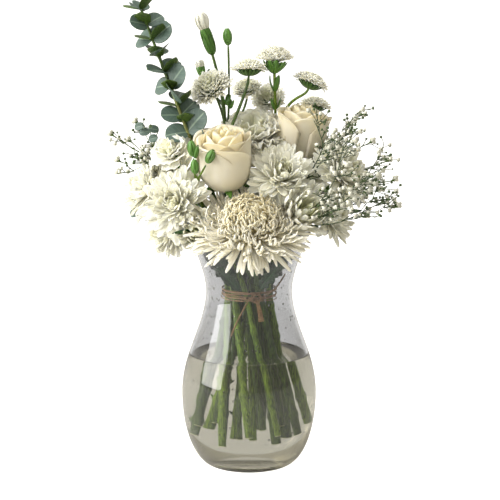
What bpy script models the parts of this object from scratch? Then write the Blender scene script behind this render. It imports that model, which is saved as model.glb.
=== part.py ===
"""A hand-tied bouquet of white flowers standing in water in a waisted glass vase.

Blender 4.5, metres, +Z up. The origin is the centre of the vase's underside and the
bouquet's face looks along -Y. Nineteen stems pass through a raffia tie in the vase's neck:
ten in an outer ring, eight in an inner one and one in the middle. They fan out below it
into the water and above it to the flower heads, which press against each other.
"""

import math
from collections import namedtuple

import bpy
import numpy as np

MM = 0.001

# ---- Vase -------------------------------------------------------------------------------
VASE_HEIGHT = 248 * MM
BASE_RADIUS = 38 * MM
BELLY_RADIUS = 70 * MM
BELLY_HEIGHT = 76 * MM
NECK_RADIUS = 44.6 * MM
NECK_HEIGHT = 186 * MM
RIM_RADIUS = 65 * MM
WALL = 3.2 * MM
FLOOR = 9 * MM
HEEL = 4 * MM
VASE_SIDES = 32

# ---- Water ------------------------------------------------------------------------------
WATER_LEVEL = 117 * MM
GAP = 0.3 * MM

# ---- Stems below the tie ------------------------------------------------------------------
WOODY = 4.2 * MM
LEAFY = 3.8 * MM
SLENDER = 3.1 * MM
FINE = 2.2 * MM
SPACING = 1.0 * MM
OUTER_SLOTS = 10
INNER_SLOTS = 8
OUTER_START = math.radians(-60)
INNER_START = math.radians(75)
TWIST = math.radians(42)
FOOT_HEIGHT = 38 * MM
FOOT_STEP = 9 * MM
FOOT_CLEARANCE = 17 * MM
STEM_SIDES = 6

# ---- Tie --------------------------------------------------------------------------------
TIE_BELOW_NECK = 4 * MM
TIE_CLEARANCE = 1.2 * MM
RAFFIA_WIDTH = 4.2 * MM
RAFFIA_THICKNESS = 1.8 * MM
WRAPS = 3
WRAP_STEP = 3.8 * MM
KNOT_SIZE = (6.5 * MM, 4.0 * MM, 6.0 * MM)
KNOT_HEADING = math.radians(283)
KNOT_SINK = 0.6
WRAP_SIDES = 24
HOOP_EDGE = 0.6
TAIL_RADIUS = 0.8 * MM
TIE_HEIGHT = NECK_HEIGHT - TIE_BELOW_NECK

# ---- Flower heads -----------------------------------------------------------------------
# front and back are the head's height before and behind its widest ring, as a share of
# its radius; square rounds its section from an ellipse (2) towards a box; petals and
# notch scallop its edge; wide is its width over its length.
Kind = namedtuple("Kind", "front back square petals notch wide rows around")
KINDS = {
    "rose": Kind(1.15, 1.35, 2.6, 5, 0.05, 1.0, 8, 18),
    "disbud": Kind(0.50, 0.40, 2.0, 13, 0.10, 1.0, 9, 26),
    "mum": Kind(0.46, 0.42, 2.0, 8, 0.14, 1.0, 6, 16),
    "half_mum": Kind(0.95, 1.00, 2.2, 8, 0.08, 1.0, 6, 16),
    "carnation": Kind(0.62, 0.70, 2.0, 8, 0.08, 1.0, 6, 16),
    "button": Kind(0.50, 0.32, 2.0, 8, 0.05, 1.0, 5, 16),
    "bud": Kind(1.60, 1.60, 2.0, 4, 0.00, 1.0, 5, 8),
    "leaf": Kind(0.035, 0.035, 2.0, 2, 0.00, 0.46, 3, 18),
    "puff": Kind(1.00, 1.00, 2.0, 4, 0.00, 1.0, 3, 6),
}

# Heads further apart than this many times their two radii don't touch.
NEIGHBOURLY = 1.5

# x, y and up are the head's middle from the rim's centre, lean is how far its face tips
# from straight up, turn the heading that it tips towards, from +X towards +Y, and radius
# its widest, all in millimetres and degrees.
Head = namedtuple("Head", "name kind stem x y up lean turn radius")
HEADS = [
    Head("rose_front", "rose", "stem_rose_front", -25, -48, 84, 16, 262, 26.5),
    Head("rose_right", "rose", "stem_rose_right", 50, 12, 103, 14, 330, 26),
    Head("rose_rear", "rose", "stem_rose_rear", -28, 60, 72, 30, 110, 26),
    Head("disbud_mum", "disbud", "stem_disbud", 7, -80, 22, 48, 272, 61),
    Head("mum_left_face", "mum", "stem_mum_left", -73, -60, 35, 68, 247, 34),
    Head("mum_left_side", "mum", "stem_mum_left", -106, -14, 44, 62, 190, 32),
    Head("mum_left_low", "mum", "stem_mum_left", -84, -34, 3, 95, 212, 27),
    Head("mum_left_opening", "half_mum", "stem_mum_left", -52, -76, 8, 80, 250, 12),
    Head("mum_front_face", "mum", "stem_mum_front", 31, -54, 60, 50, 285, 34),
    Head("mum_front_back", "mum", "stem_mum_front", 17, -18, 77, 15, 280, 22),
    Head("mum_low_opening", "half_mum", "stem_mum_low_right", 54, -70, 30, 60, 300, 21),
    Head("mum_low_side", "mum", "stem_mum_low_right", 84, -40, 20, 85, 325, 26),
    Head("mum_right_face", "mum", "stem_mum_right", 96, -26, 59, 55, 322, 33),
    Head("mum_rear_left", "mum", "stem_mum_rear_left", -82, 42, 42, 60, 150, 32),
    Head("mum_rear_low", "mum", "stem_mum_rear", 4, 80, 20, 75, 90, 33),
    Head("mum_rear_right", "mum", "stem_mum_rear_right", 64, 62, 45, 55, 45, 33),
    Head("carnation_centre", "carnation", "stem_carnation", 10, 4, 101, 18, 268, 36),
    Head("carnation_high", "carnation", "stem_carnation", 27, 14, 180, 8, 60, 14),
    Head("carnation_left", "carnation", "stem_carnation_left", -79, -32, 86, 38, 240, 22),
    Head("button_top", "button", "stem_button_left", 0, 2, 165, 8, 90, 18),
    Head("button_left", "button", "stem_button_left", -40, -3, 147, 42, 175, 18),
    Head("button_mid", "button", "stem_button_left", -2, 34, 142, 20, 120, 15),
    Head("button_back", "button", "stem_button_left", 20, 40, 131, 30, 60, 16),
    Head("button_right", "button", "stem_button_right", 64, 20, 150, 24, 20, 18),
    Head("button_far_right", "button", "stem_button_right", 70, 46, 124, 14, 40, 16),
    Head("bud_white_tip", "bud", "stem_carnation_buds", -46, 14, 206, 18, 180, 6),
    Head("bud_green_tall", "bud", "stem_carnation_buds", -22, 18, 197, 5, 160, 4.6),
    Head("bud_white_small", "bud", "stem_carnation_buds", -50, 22, 165, 12, 170, 5),
    Head("bud_green_upper", "bud", "stem_carnation_left", -56, -66, 91, 8, 180, 5.4),
    Head("bud_green_round", "bud", "stem_carnation_left", -38, -78, 84, 30, 330, 5.6),
    Head("bud_green_lower", "bud", "stem_carnation_left", -53, -76, 74, 6, 180, 4.8),
    Head("leaf_right", "leaf", "stem_mum_right", 84, -4, 14, -20, 357, 28),
    Head("leaf_rear_right", "leaf", "stem_mum_rear_right", 77, 30, 18, -28, 21, 28),
    Head("leaf_rear_left", "leaf", "stem_mum_rear_left", -52, 64, 19, -30, 129, 28),
    Head("leaf_left", "leaf", "stem_mum_left", -82, 14, 17, -28, 170, 28),
]

# Twig ends of the baby's breath: each carries one puff that is one piece with its stem.
Twig = namedtuple("Twig", "stem x y up")
PUFF_RADIUS = 3.2
PUFF_LEAN = 50
PUFF_SINK = 0.7
TWIGS = [
    Twig("stem_gypsophila_right", 104, 6, 108),
    Twig("stem_gypsophila_right", 126, -4, 92),
    Twig("stem_gypsophila_right", 144, 4, 72),
    Twig("stem_gypsophila_right", 149, -12, 54),
    Twig("stem_gypsophila_right", 152, -20, 28),
    Twig("stem_gypsophila_right", 134, 12, 40),
    Twig("stem_gypsophila_right", 121, -10, 16),
    Twig("stem_gypsophila_left", -141, -8, 100),
    Twig("stem_gypsophila_left", -134, -14, 74),
    Twig("stem_gypsophila_left", -124, 8, 92),
    Twig("stem_gypsophila_left", -116, -2, 112),
    Twig("stem_gypsophila_left", -136, 14, 58),
]

# ---- Stems ------------------------------------------------------------------------------
# ring and slot say where the stem passes the tie; fork is how far up, between the tie and
# its first head, a branching stem divides, and step how much further each branch starts.
Stem = namedtuple("Stem", "name ring slot radius fork step branch")
STEMS = [
    Stem("stem_disbud", "outer", 0, WOODY, 0.50, 0.00, 3.4 * MM),
    Stem("stem_mum_low_right", "outer", 1, LEAFY, 0.30, 0.10, 1.7 * MM),
    Stem("stem_mum_right", "outer", 2, LEAFY, 0.45, 0.10, 2.2 * MM),
    Stem("stem_gypsophila_right", "outer", 3, FINE, 0.50, 0.06, 0.9 * MM),
    Stem("stem_mum_rear_right", "outer", 4, LEAFY, 0.45, 0.10, 2.2 * MM),
    Stem("stem_mum_rear", "outer", 5, LEAFY, 0.50, 0.00, 2.2 * MM),
    Stem("stem_rose_rear", "outer", 6, WOODY, 0.50, 0.00, 3.0 * MM),
    Stem("stem_mum_rear_left", "outer", 7, LEAFY, 0.45, 0.10, 2.2 * MM),
    Stem("stem_mum_left", "outer", 8, LEAFY, 0.30, 0.06, 1.7 * MM),
    Stem("stem_carnation_left", "outer", 9, SLENDER, 0.60, 0.06, 1.2 * MM),
    Stem("stem_button_right", "inner", 0, SLENDER, 0.50, 0.08, 1.4 * MM),
    Stem("stem_button_left", "inner", 1, SLENDER, 0.50, 0.05, 1.4 * MM),
    Stem("stem_carnation_buds", "inner", 2, SLENDER, 0.62, 0.05, 1.3 * MM),
    Stem("stem_gypsophila_left", "inner", 3, FINE, 0.60, 0.05, 0.9 * MM),
    Stem("stem_eucalyptus", "inner", 4, SLENDER, 0.50, 0.00, 1.3 * MM),
    Stem("stem_rose_front", "inner", 5, WOODY, 0.50, 0.00, 3.0 * MM),
    Stem("stem_mum_front", "inner", 6, LEAFY, 0.45, 0.10, 1.8 * MM),
    Stem("stem_rose_right", "inner", 7, WOODY, 0.50, 0.00, 3.0 * MM),
    Stem("stem_carnation", "middle", 0, SLENDER, 0.45, 0.10, 1.6 * MM),
]

# ---- Eucalyptus -------------------------------------------------------------------------
EUCALYPTUS_ROUTE = [(-46, -14, 64), (-64, -22, 108), (-84, -19, 162), (-109, -14, 228)]
EUCALYPTUS_PAIRS = 8
FIRST_PAIR = 0.60
EUCALYPTUS_RISE = 14 * MM
EUCALYPTUS_LEAF = 13.5 * MM
EUCALYPTUS_LEAF_WIDE = 0.86
EUCALYPTUS_LEAF_REACH = 0.92
EUCALYPTUS_LEAF_SIDES = 10
FIRST_TURN = math.radians(10)
PAIR_TURN = math.radians(54)
LEAF_RISE = 0.55
LEAF_TIP = 0.3
LEAF_THICKNESS = 1.2 * MM

# ---- How the stems find their way above the tie -------------------------------------------
SAMPLE = 3.5 * MM
HELD = 3
ROUNDS = 260
SETTLING = 60
STIFFNESS = 0.22
RING_EVERY = 3
THIN = 1.5 * MM
NEAR = 30 * MM
RECHECK = 10
HEAD_PUSH = 0.6
MOUTH_MARGIN = 3 * MM
BEND_PULL = 0.45
TAPER = 1.5
HIGHEST_FORK = 0.9
CURVE_STEPS = 80

COLOURS = {
    "rose": (0.86, 0.82, 0.70), "disbud": (0.88, 0.86, 0.76), "mum": (0.90, 0.90, 0.86),
    "half_mum": (0.80, 0.84, 0.66), "carnation": (0.88, 0.88, 0.85),
    "button": (0.84, 0.86, 0.74), "bud": (0.30, 0.42, 0.18), "leaf": (0.06, 0.13, 0.05),
    "stem": (0.20, 0.33, 0.09), "raffia": (0.55, 0.38, 0.20),
    "glass": (0.80, 0.84, 0.84), "water": (0.70, 0.72, 0.66),
    "eucalyptus": (0.36, 0.44, 0.38),
}


# ---- Vectors ----------------------------------------------------------------------------

def unit(vector):
    """The vector at length 1."""
    return vector / np.linalg.norm(vector)


def across(axis):
    """Two unit vectors square to axis and to each other; the second leans most upward."""
    upward = np.array((0.0, 0.0, 1.0))
    if abs(axis[2]) > 0.98:
        upward = np.array((0.0, 1.0, 0.0))
    side = unit(np.cross(upward, axis))
    return side, np.cross(axis, side)


def heading(lean, turn):
    """The unit vector tipped lean degrees from straight up towards the heading turn."""
    tip = math.radians(lean)
    way = math.radians(turn)
    return np.array((math.sin(tip) * math.cos(way), math.sin(tip) * math.sin(way),
                     math.cos(tip)))


def smooth_curve(points, count):
    """Evenly spaced points on the Catmull-Rom curve through the given points."""
    given = np.asarray(points, float)
    padded = np.vstack((2 * given[0] - given[1], given, 2 * given[-1] - given[-2]))
    dense = []
    for a, b, c, d in zip(padded[:-3], padded[1:-2], padded[2:-1], padded[3:]):
        for t in np.linspace(0, 1, CURVE_STEPS, endpoint=False):
            dense.append(0.5 * (2 * b + (c - a) * t + (2 * a - 5 * b + 4 * c - d) * t * t
                                + (3 * b - a - 3 * c + d) * t ** 3))
    dense.append(given[-1])
    return spread(np.array(dense), count)


def spread(points, count):
    """The same route with count points evenly spaced along it."""
    walked = np.concatenate(([0], np.cumsum(np.linalg.norm(np.diff(points, axis=0), axis=1))))
    at = np.linspace(0, walked[-1], count)
    return np.column_stack([np.interp(at, walked, points[:, k]) for k in range(3)])


# ---- Meshes -----------------------------------------------------------------------------

def clear_scene():
    """Empties the scene."""
    for thing in list(bpy.data.objects):
        bpy.data.objects.remove(thing)


def material(name):
    """The Principled material of one colour in COLOURS."""
    made = bpy.data.materials.get(name)
    if made:
        return made
    made = bpy.data.materials.new(name)
    made.use_nodes = True
    shader = made.node_tree.nodes["Principled BSDF"]
    shader.inputs["Base Color"].default_value = (*COLOURS[name], 1)
    shader.inputs["Roughness"].default_value = 0.05 if name in ("glass", "water") else 0.6
    shader.inputs["Metallic"].default_value = 0.0
    shader.inputs["Transmission Weight"].default_value = 1.0 if name in ("glass", "water") else 0.0
    return made


def solid(name, verts, faces, colour):
    """A named mesh object whose faces point outward."""
    verts = np.asarray(verts, float)
    volume = 0.0
    for face in faces:
        for b, c in zip(face[1:-1], face[2:]):
            volume += np.dot(verts[face[0]], np.cross(verts[b], verts[c]))
    if volume < 0:
        faces = [face[::-1] for face in faces]
    mesh = bpy.data.meshes.new(name)
    mesh.from_pydata([tuple(v) for v in verts], [], faces)
    mesh.shade_smooth()
    mesh.materials.append(material(colour))
    made = bpy.data.objects.new(name, mesh)
    bpy.context.scene.collection.objects.link(made)
    return made


def skin(name, rings, first, last, colour):
    """A closed surface over a run of rings, closed by a point at each end."""
    around = len(rings[0])
    verts = [first]
    for ring in rings:
        verts.extend(ring)
    verts.append(last)
    faces = []
    for k in range(around):
        faces.append((0, 1 + k, 1 + (k + 1) % around))
        faces.append((len(verts) - 1, len(verts) - 1 - around + (k + 1) % around,
                      len(verts) - 1 - around + k))
    for row in range(len(rings) - 1):
        low = 1 + row * around
        for k in range(around):
            step = (k + 1) % around
            faces.append((low + k, low + around + k, low + around + step, low + step))
    return solid(name, verts, faces, colour)


def turned(name, profile, sides, colour):
    """A solid turned about Z; the profile's first and last points lie on the axis."""
    angles = np.arange(sides) * 2 * math.pi / sides
    rings = [[(r * math.cos(a), r * math.sin(a), z) for a in angles] for r, z in profile[1:-1]]
    return skin(name, rings, (0, 0, profile[0][1]), (0, 0, profile[-1][1]), colour)


def tube(name, points, radii, sides, colour):
    """A round bar along points, with flat ends."""
    points = np.asarray(points, float)
    ways = np.gradient(points, axis=0)
    side, up = across(unit(ways[0]))
    rings = []
    for point, way, radius in zip(points, ways, radii):
        way = unit(way)
        side = unit(side - way * np.dot(side, way))
        up = np.cross(way, side)
        turns = np.arange(sides) * 2 * math.pi / sides
        rings.append([point + radius * (math.cos(a) * side + math.sin(a) * up) for a in turns])
    return skin(name, rings, points[0], points[-1], colour)


def combine(target, tools, operation):
    """Unites target with the tools or cuts them out of it, and removes the tools."""
    for tool in tools:
        change = target.modifiers.new("combine", "BOOLEAN")
        change.operation = operation
        change.object = tool
        bpy.context.view_layer.update()
        seen = target.evaluated_get(bpy.context.evaluated_depsgraph_get())
        fresh = bpy.data.meshes.new_from_object(seen)
        target.modifiers.clear()
        target.data = fresh
        bpy.data.objects.remove(tool)
    target.data.name = target.name
    return target


# ---- Vase and water ---------------------------------------------------------------------

def outer_radius(z):
    """The vase's outside: a bowl, a waist and a flared mouth."""
    if z <= BELLY_HEIGHT:
        rise = 1 - z / BELLY_HEIGHT
        return BASE_RADIUS + (BELLY_RADIUS - BASE_RADIUS) * math.sqrt(1 - rise * rise)
    if z <= NECK_HEIGHT:
        t = ((z - BELLY_HEIGHT) / (NECK_HEIGHT - BELLY_HEIGHT)) ** 1.06
        swell = 0.5 + 0.5 * math.cos(math.pi * t)
        return NECK_RADIUS + (BELLY_RADIUS - NECK_RADIUS) * swell
    t = (z - NECK_HEIGHT) / (VASE_HEIGHT - NECK_HEIGHT)
    return NECK_RADIUS + (RIM_RADIUS - NECK_RADIUS) * t ** 1.5


def inner_radius(z):
    """The vase's inside: one wall in, with a heavier round bottom."""
    if z >= BELLY_HEIGHT:
        return outer_radius(z) - WALL
    rise = min(1, 1 - (z - FLOOR) / (BELLY_HEIGHT - FLOOR))
    floor_radius = BASE_RADIUS - HEEL
    return floor_radius + (BELLY_RADIUS - WALL - floor_radius) * math.sqrt(1 - rise * rise)


def levels(low, high, count, crowd=1.0):
    """Heights from low to high; crowd above 1 sets them closer at the low end."""
    return low + (high - low) * np.linspace(0, 1, count) ** crowd


def bowl_levels(floor):
    """Heights from floor to the belly, closer together where the bowl's bottom turns."""
    return levels(floor, BELLY_HEIGHT, 7, 2.0)


def neck_levels(top, count):
    """Heights from just above the belly to top."""
    return levels(BELLY_HEIGHT, top, count)[1:]


def make_vase():
    """The glass: outside up, over a rounded rim, inside down."""
    shoulder = VASE_HEIGHT - WALL / 2
    outside = [(outer_radius(z), z) for z in (*bowl_levels(0), *neck_levels(shoulder, 11))]
    inside = [(inner_radius(z), z) for z in (*bowl_levels(FLOOR), *neck_levels(shoulder, 11))]
    crown = [(RIM_RADIUS - WALL / 2, VASE_HEIGHT)]
    profile = [(0, 0)] + outside + crown + inside[::-1] + [(0, FLOOR)]
    return turned("vase", profile, VASE_SIDES, "glass")


def make_water(stem_lines):
    """The water, with a hole round each stem that stands in it."""
    rings = [(inner_radius(z) - GAP, z + GAP) for z in bowl_levels(FLOOR)]
    rings += [(inner_radius(z) - 2 * GAP, z) for z in neck_levels(WATER_LEVEL, 4)]
    profile = [(0, FLOOR + GAP)] + rings + [(0, WATER_LEVEL)]
    water = turned("water", profile, VASE_SIDES, "water")
    holes = [stem_below("hole", line, GAP, WATER_LEVEL + 10 * MM) for line in stem_lines]
    return combine(water, holes, "DIFFERENCE")


def make_headroom():
    """A solid the shape of the vase, filled, that the heads are kept out of."""
    grow = 2 * GAP
    rings = [(outer_radius(z) + grow, z) for z in levels(NECK_HEIGHT, VASE_HEIGHT, 9)]
    rings[-1] = (rings[-1][0], VASE_HEIGHT + grow)
    profile = [(0, NECK_HEIGHT)] + rings + [(0, VASE_HEIGHT + grow)]
    return turned("headroom", profile, VASE_SIDES, "glass")


# ---- Where the stems stand ----------------------------------------------------------------

def ring_radii():
    """The radii of the tie's inner and outer rings of stems, and of the whole bundle."""
    inner = max(s.radius for s in STEMS if s.ring == "inner")
    outer = max(s.radius for s in STEMS if s.ring == "outer")
    middle = max(s.radius for s in STEMS if s.ring == "middle")
    inner_ring = max((2 * inner + SPACING) / (2 * math.sin(math.pi / INNER_SLOTS)),
                     middle + inner + SPACING)
    outer_ring = max((2 * outer + SPACING) / (2 * math.sin(math.pi / OUTER_SLOTS)),
                     inner_ring + inner + outer + SPACING)
    return inner_ring, outer_ring, outer_ring + outer + TIE_CLEARANCE


INNER_RING, OUTER_RING, BUNDLE_RADIUS = ring_radii()


def stem_line(order, stem):
    """The stem's foot and its place in the tie; between them it runs straight."""
    foot_z = FOOT_HEIGHT + FOOT_STEP * math.sin(2.4 * order)
    spread_radius = inner_radius(foot_z) - FOOT_CLEARANCE
    if stem.ring == "middle":
        return np.array((3 * MM, 0, foot_z)), np.array((0, 0, TIE_HEIGHT))
    if stem.ring == "outer":
        angle = OUTER_START + stem.slot * 2 * math.pi / OUTER_SLOTS
        ring, foot_ring = OUTER_RING, spread_radius
    else:
        angle = INNER_START + stem.slot * 2 * math.pi / INNER_SLOTS
        ring, foot_ring = INNER_RING, spread_radius * INNER_RING / OUTER_RING
    foot = np.array((foot_ring * math.cos(angle + TWIST), foot_ring * math.sin(angle + TWIST),
                     foot_z))
    tie = np.array((ring * math.cos(angle), ring * math.sin(angle), TIE_HEIGHT))
    return foot, tie


def stem_below(name, line, extra, top):
    """The straight lower part of a stem, grown by extra, from its foot up to top."""
    foot, tie, radius = line
    way = unit(tie - foot)
    start = foot - way * extra
    end = foot + way * (top - foot[2]) / way[2]
    return tube(name, [start, end], [radius + extra] * 2, STEM_SIDES, "stem")


# ---- Head shapes --------------------------------------------------------------------------

class Bloom:
    """A head's middle, axes and outline, and the planes where it meets its neighbours."""

    def __init__(self, head):
        self.name = head.name
        self.stem = head.stem
        self.kind = head.kind
        self.shape = KINDS[head.kind]
        self.middle = np.array((head.x * MM, head.y * MM, VASE_HEIGHT + head.up * MM))
        self.axis = heading(head.lean, head.turn)
        self.side, self.up = across(self.axis)
        self.radius = head.radius * MM
        self.planes = []

    def reach(self, ways):
        """How far the outline lies from the middle along each unit vector in ways."""
        shape = self.shape
        along = ways @ self.axis
        sideways = (ways @ self.side) / shape.wide
        upward = ways @ self.up
        flat = np.hypot(sideways, upward)
        tall = np.where(along >= 0, shape.front, shape.back)
        share = (flat ** shape.square + np.abs(along / tall) ** shape.square)
        between = 0.5 - 0.5 * np.cos(shape.petals * np.arctan2(upward, sideways))
        edge = np.minimum(flat, 1) ** 2
        far = self.radius * share ** (-1 / shape.square) * (1 - shape.notch * between * edge)
        for way, limit in self.planes:
            toward = np.maximum(ways @ way, 1e-6)
            far = np.minimum(far, limit / toward)
        return far

    def stalk(self):
        """Where the stem ends, under the head's back or a leaf's foot, and the way it arrives."""
        way = self.up if self.kind == "leaf" else self.axis
        back = self.reach(-way[None, :])[0]
        return self.middle - way * (back + GAP), way

    def build(self):
        """The head's solid."""
        shape = self.shape
        rings = []
        for row in range(1, shape.rows):
            t = math.pi * row / shape.rows
            tall = shape.front if row * 2 <= shape.rows else shape.back
            rise = tall * math.copysign(abs(math.cos(t)) ** (2 / shape.square), math.cos(t))
            out = math.sin(t) ** (2 / shape.square)
            turns = np.arange(shape.around) * 2 * math.pi / shape.around
            ways = (rise * self.axis[None, :]
                    + out * shape.wide * np.cos(turns)[:, None] * self.side[None, :]
                    + out * np.sin(turns)[:, None] * self.up[None, :])
            ways /= np.linalg.norm(ways, axis=1)[:, None]
            rings.append(self.middle + ways * self.reach(ways)[:, None])
        front = self.middle + self.axis * self.reach(self.axis[None, :])[0]
        back = self.middle - self.axis * self.reach(-self.axis[None, :])[0]
        return skin(self.name, rings, front, back, self.kind)


def part_neighbours(blooms):
    """Gives each two close heads a plane between them, a gap from each."""
    heads = [bloom for bloom in blooms if bloom.kind != "leaf"]
    found = []
    for i, one in enumerate(heads):
        for other in heads[:i]:
            apart = np.linalg.norm(other.middle - one.middle)
            if apart > NEIGHBOURLY * (one.radius + other.radius):
                continue
            way = (other.middle - one.middle) / apart
            mine = one.reach(way[None, :])[0]
            theirs = other.reach(-way[None, :])[0]
            limit = apart * mine / (mine + theirs)
            found.append((one, way, limit - GAP))
            found.append((other, -way, apart - limit - GAP))
    for bloom, way, limit in found:
        bloom.planes.append((way, limit))
    for leaf in blooms:
        if leaf.kind == "leaf":
            lay_on_leaf(leaf, heads)


def lay_on_leaf(leaf, heads):
    """Flattens each head that a leaf would run into where it lies against the leaf."""
    turns = np.arange(24) * 2 * math.pi / 24
    ways = (leaf.shape.wide * np.cos(turns)[:, None] * leaf.side
            + np.sin(turns)[:, None] * leaf.up)
    blade = np.vstack([leaf.middle + share * leaf.radius * ways for share in (0.3, 0.6, 0.8, 1)])
    for head in heads:
        offset = blade - head.middle
        apart = np.linalg.norm(offset, axis=1)
        if np.all(apart > head.reach(offset / apart[:, None]) + 4 * GAP):
            continue
        height = np.dot(leaf.middle - head.middle, leaf.axis)
        thickness = leaf.radius * leaf.shape.front
        head.planes.append((leaf.axis * math.copysign(1, height),
                            abs(height) - thickness - GAP))


# ---- Stems above the tie ------------------------------------------------------------------

class Run:
    """One stretch of stem above the tie: a trunk, or a branch that leaves a trunk."""

    def __init__(self, stem, points, radii, bloom, trunk=None, joint=0):
        self.stem = stem
        self.points = points
        self.radii = radii
        self.bloom = bloom
        self.trunk = trunk
        self.joint = joint


def bend(start, leaving, end, arriving):
    """A curve from start to end that leaves and arrives along the given unit vectors."""
    reach = np.linalg.norm(end - start) * BEND_PULL
    a, b, c, d = start, start + leaving * reach, end - arriving * reach, end
    t = np.linspace(0, 1, CURVE_STEPS)[:, None]
    curve = (1 - t) ** 3 * a + 3 * (1 - t) ** 2 * t * b + 3 * (1 - t) * t * t * c + t ** 3 * d
    length = np.linalg.norm(np.diff(curve, axis=0), axis=1).sum()
    return spread(curve, max(2 * HELD + 3, int(length / SAMPLE)))


def runs_of(stem, line, blooms):
    """The trunk to the stem's first head and a branch to each of the others."""
    foot, tie, radius = line
    leaving = unit(tie - foot)
    first = blooms[0]
    points = bend(tie, leaving, *first.stalk())
    taper = stem.branch if len(blooms) > 1 or stem.branch < radius else radius
    radii = radius + (taper - radius) * np.linspace(0, 1, len(points)) ** TAPER
    trunk = Run(stem, points, radii, first)
    runs = [trunk]
    for order, bloom in enumerate(blooms[1:]):
        share = min(HIGHEST_FORK, stem.fork + stem.step * order)
        joint = int(share * (len(points) - 1))
        leaving = unit(points[joint + 1] - points[joint - 1])
        branch = bend(points[joint], leaving, *bloom.stalk())
        runs.append(Run(stem, branch, np.full(len(branch), stem.branch), bloom, trunk, joint))
    return runs


def separate(runs, blooms):
    """Moves the runs apart, out of the heads and into the vase's mouth, keeping them smooth."""
    sizes = [len(run.points) for run in runs]
    starts = np.concatenate(([0], np.cumsum(sizes)))
    owner = np.concatenate([np.full(n, STEMS.index(run.stem)) for n, run in zip(sizes, runs)])
    radii = np.concatenate([run.radii for run in runs])
    points = np.concatenate([run.points for run in runs])
    free = np.concatenate([loose(n) for n in sizes])
    for turn in range(ROUNDS):
        if turn % RECHECK == 0:
            near = close_pairs(points, owner)
        if turn < ROUNDS - SETTLING:
            points = relax(points, starts, free)
        points = push_apart(points, radii, near, free)
        points = push_from_heads(points, radii, blooms, free)
        points = keep_in_mouth(points, radii, free)
        for k, run in enumerate(runs):
            if run.trunk is not None:
                home = starts[runs.index(run.trunk)] + run.joint
                points[starts[k]] = points[home]
    for k, run in enumerate(runs):
        run.points = points[starts[k]:starts[k + 1]]


def loose(count):
    """1 for the samples of a run that may move, 0 for those held at its two ends."""
    held = np.ones(count)
    held[:HELD] = 0
    held[-HELD:] = 0
    return held


def close_pairs(points, owner):
    """Pairs of samples of different stems that lie near each other."""
    gaps = np.linalg.norm(points[:, None, :] - points[None, :, :], axis=2)
    return np.nonzero((gaps < NEAR) & (owner[:, None] < owner[None, :]))


def relax(points, starts, free):
    """Draws each free sample towards the middle of its two neighbours."""
    pull = np.zeros_like(points)
    pull[1:-1] = points[:-2] + points[2:] - 2 * points[1:-1]
    return points + STIFFNESS * pull * free[:, None]


def push_apart(points, radii, near, free):
    """Pushes samples of different stems apart where they come too close."""
    one, other = near
    offset = points[other] - points[one]
    apart = np.linalg.norm(offset, axis=1) + 1e-9
    short = np.maximum(0, radii[one] + radii[other] + SPACING - apart)
    move = offset / apart[:, None] * short[:, None] * 0.5
    shift = np.zeros_like(points)
    np.add.at(shift, other, move)
    np.add.at(shift, one, -move)
    return points + shift * free[:, None]


def push_from_heads(points, radii, blooms, free):
    """Pushes free samples out of the heads."""
    for bloom in blooms:
        offset = points - bloom.middle
        apart = np.linalg.norm(offset, axis=1) + 1e-9
        ways = offset / apart[:, None]
        short = np.maximum(0, bloom.reach(ways) + radii + SPACING - apart)
        points = points + ways * (short * free)[:, None] * HEAD_PUSH
    return points


def keep_in_mouth(points, radii, free):
    """Holds samples below the rim inside the glass."""
    distance = np.hypot(points[:, 0], points[:, 1])
    for k in np.nonzero((points[:, 2] < VASE_HEIGHT + MOUTH_MARGIN) & (free > 0))[0]:
        room = inner_radius(min(points[k, 2], VASE_HEIGHT)) - radii[k] - SPACING
        if distance[k] > room:
            points[k, :2] *= room / distance[k]
    return points


def kept(run, every):
    """The samples of a run that get a ring: one in every few, and the last."""
    last = len(run.points) - 1
    return sorted(set(range(0, last - every // 2, every)) | {last})


def run_tube(name, run, room=0.0):
    """The tube along a run, coarser on a thin one; room makes its flats clear the run's round."""
    thin = run.radii.max() < THIN
    keep = kept(run, RING_EVERY + thin)
    sides = STEM_SIDES - thin
    radii = run.radii[keep]
    if room:
        radii = (radii + room) / math.cos(math.pi / sides)
    return tube(name, run.points[keep], radii, sides, "stem")


def make_stem(stem, line, runs, extras):
    """One stem: foot, trunk, branches and what grows on them, as one body."""
    foot, tie, radius = line
    trunk = runs[0]
    keep = kept(trunk, RING_EVERY)
    points = np.vstack((foot[None, :], (foot + tie)[None, :] / 2, trunk.points[keep]))
    radii = np.concatenate(([radius, radius], trunk.radii[keep]))
    body = tube(stem.name, points, radii, STEM_SIDES, "stem")
    branches = [run_tube("branch", run) for run in runs[1:]]
    return combine(body, branches + extras, "UNION")


# ---- Tie ----------------------------------------------------------------------------------

def make_wrap():
    """The raffia: flat turns round the bundle and the knot in front."""
    hoops = []
    inner = BUNDLE_RADIUS
    outer = BUNDLE_RADIUS + RAFFIA_THICKNESS
    for turn in range(WRAPS):
        z = TIE_HEIGHT + (turn - (WRAPS - 1) / 2) * WRAP_STEP
        hoops.append(hoop("raffia_wrap", inner, outer, z, RAFFIA_WIDTH))
    way = np.array((math.cos(KNOT_HEADING), math.sin(KNOT_HEADING), 0))
    middle = way * (outer + KNOT_SIZE[1] * (1 - KNOT_SINK)) + np.array((0, 0, TIE_HEIGHT))
    knot = ball("knot", middle, KNOT_SIZE, "raffia")
    return combine(hoops[0], hoops[1:] + [knot], "UNION")


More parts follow.
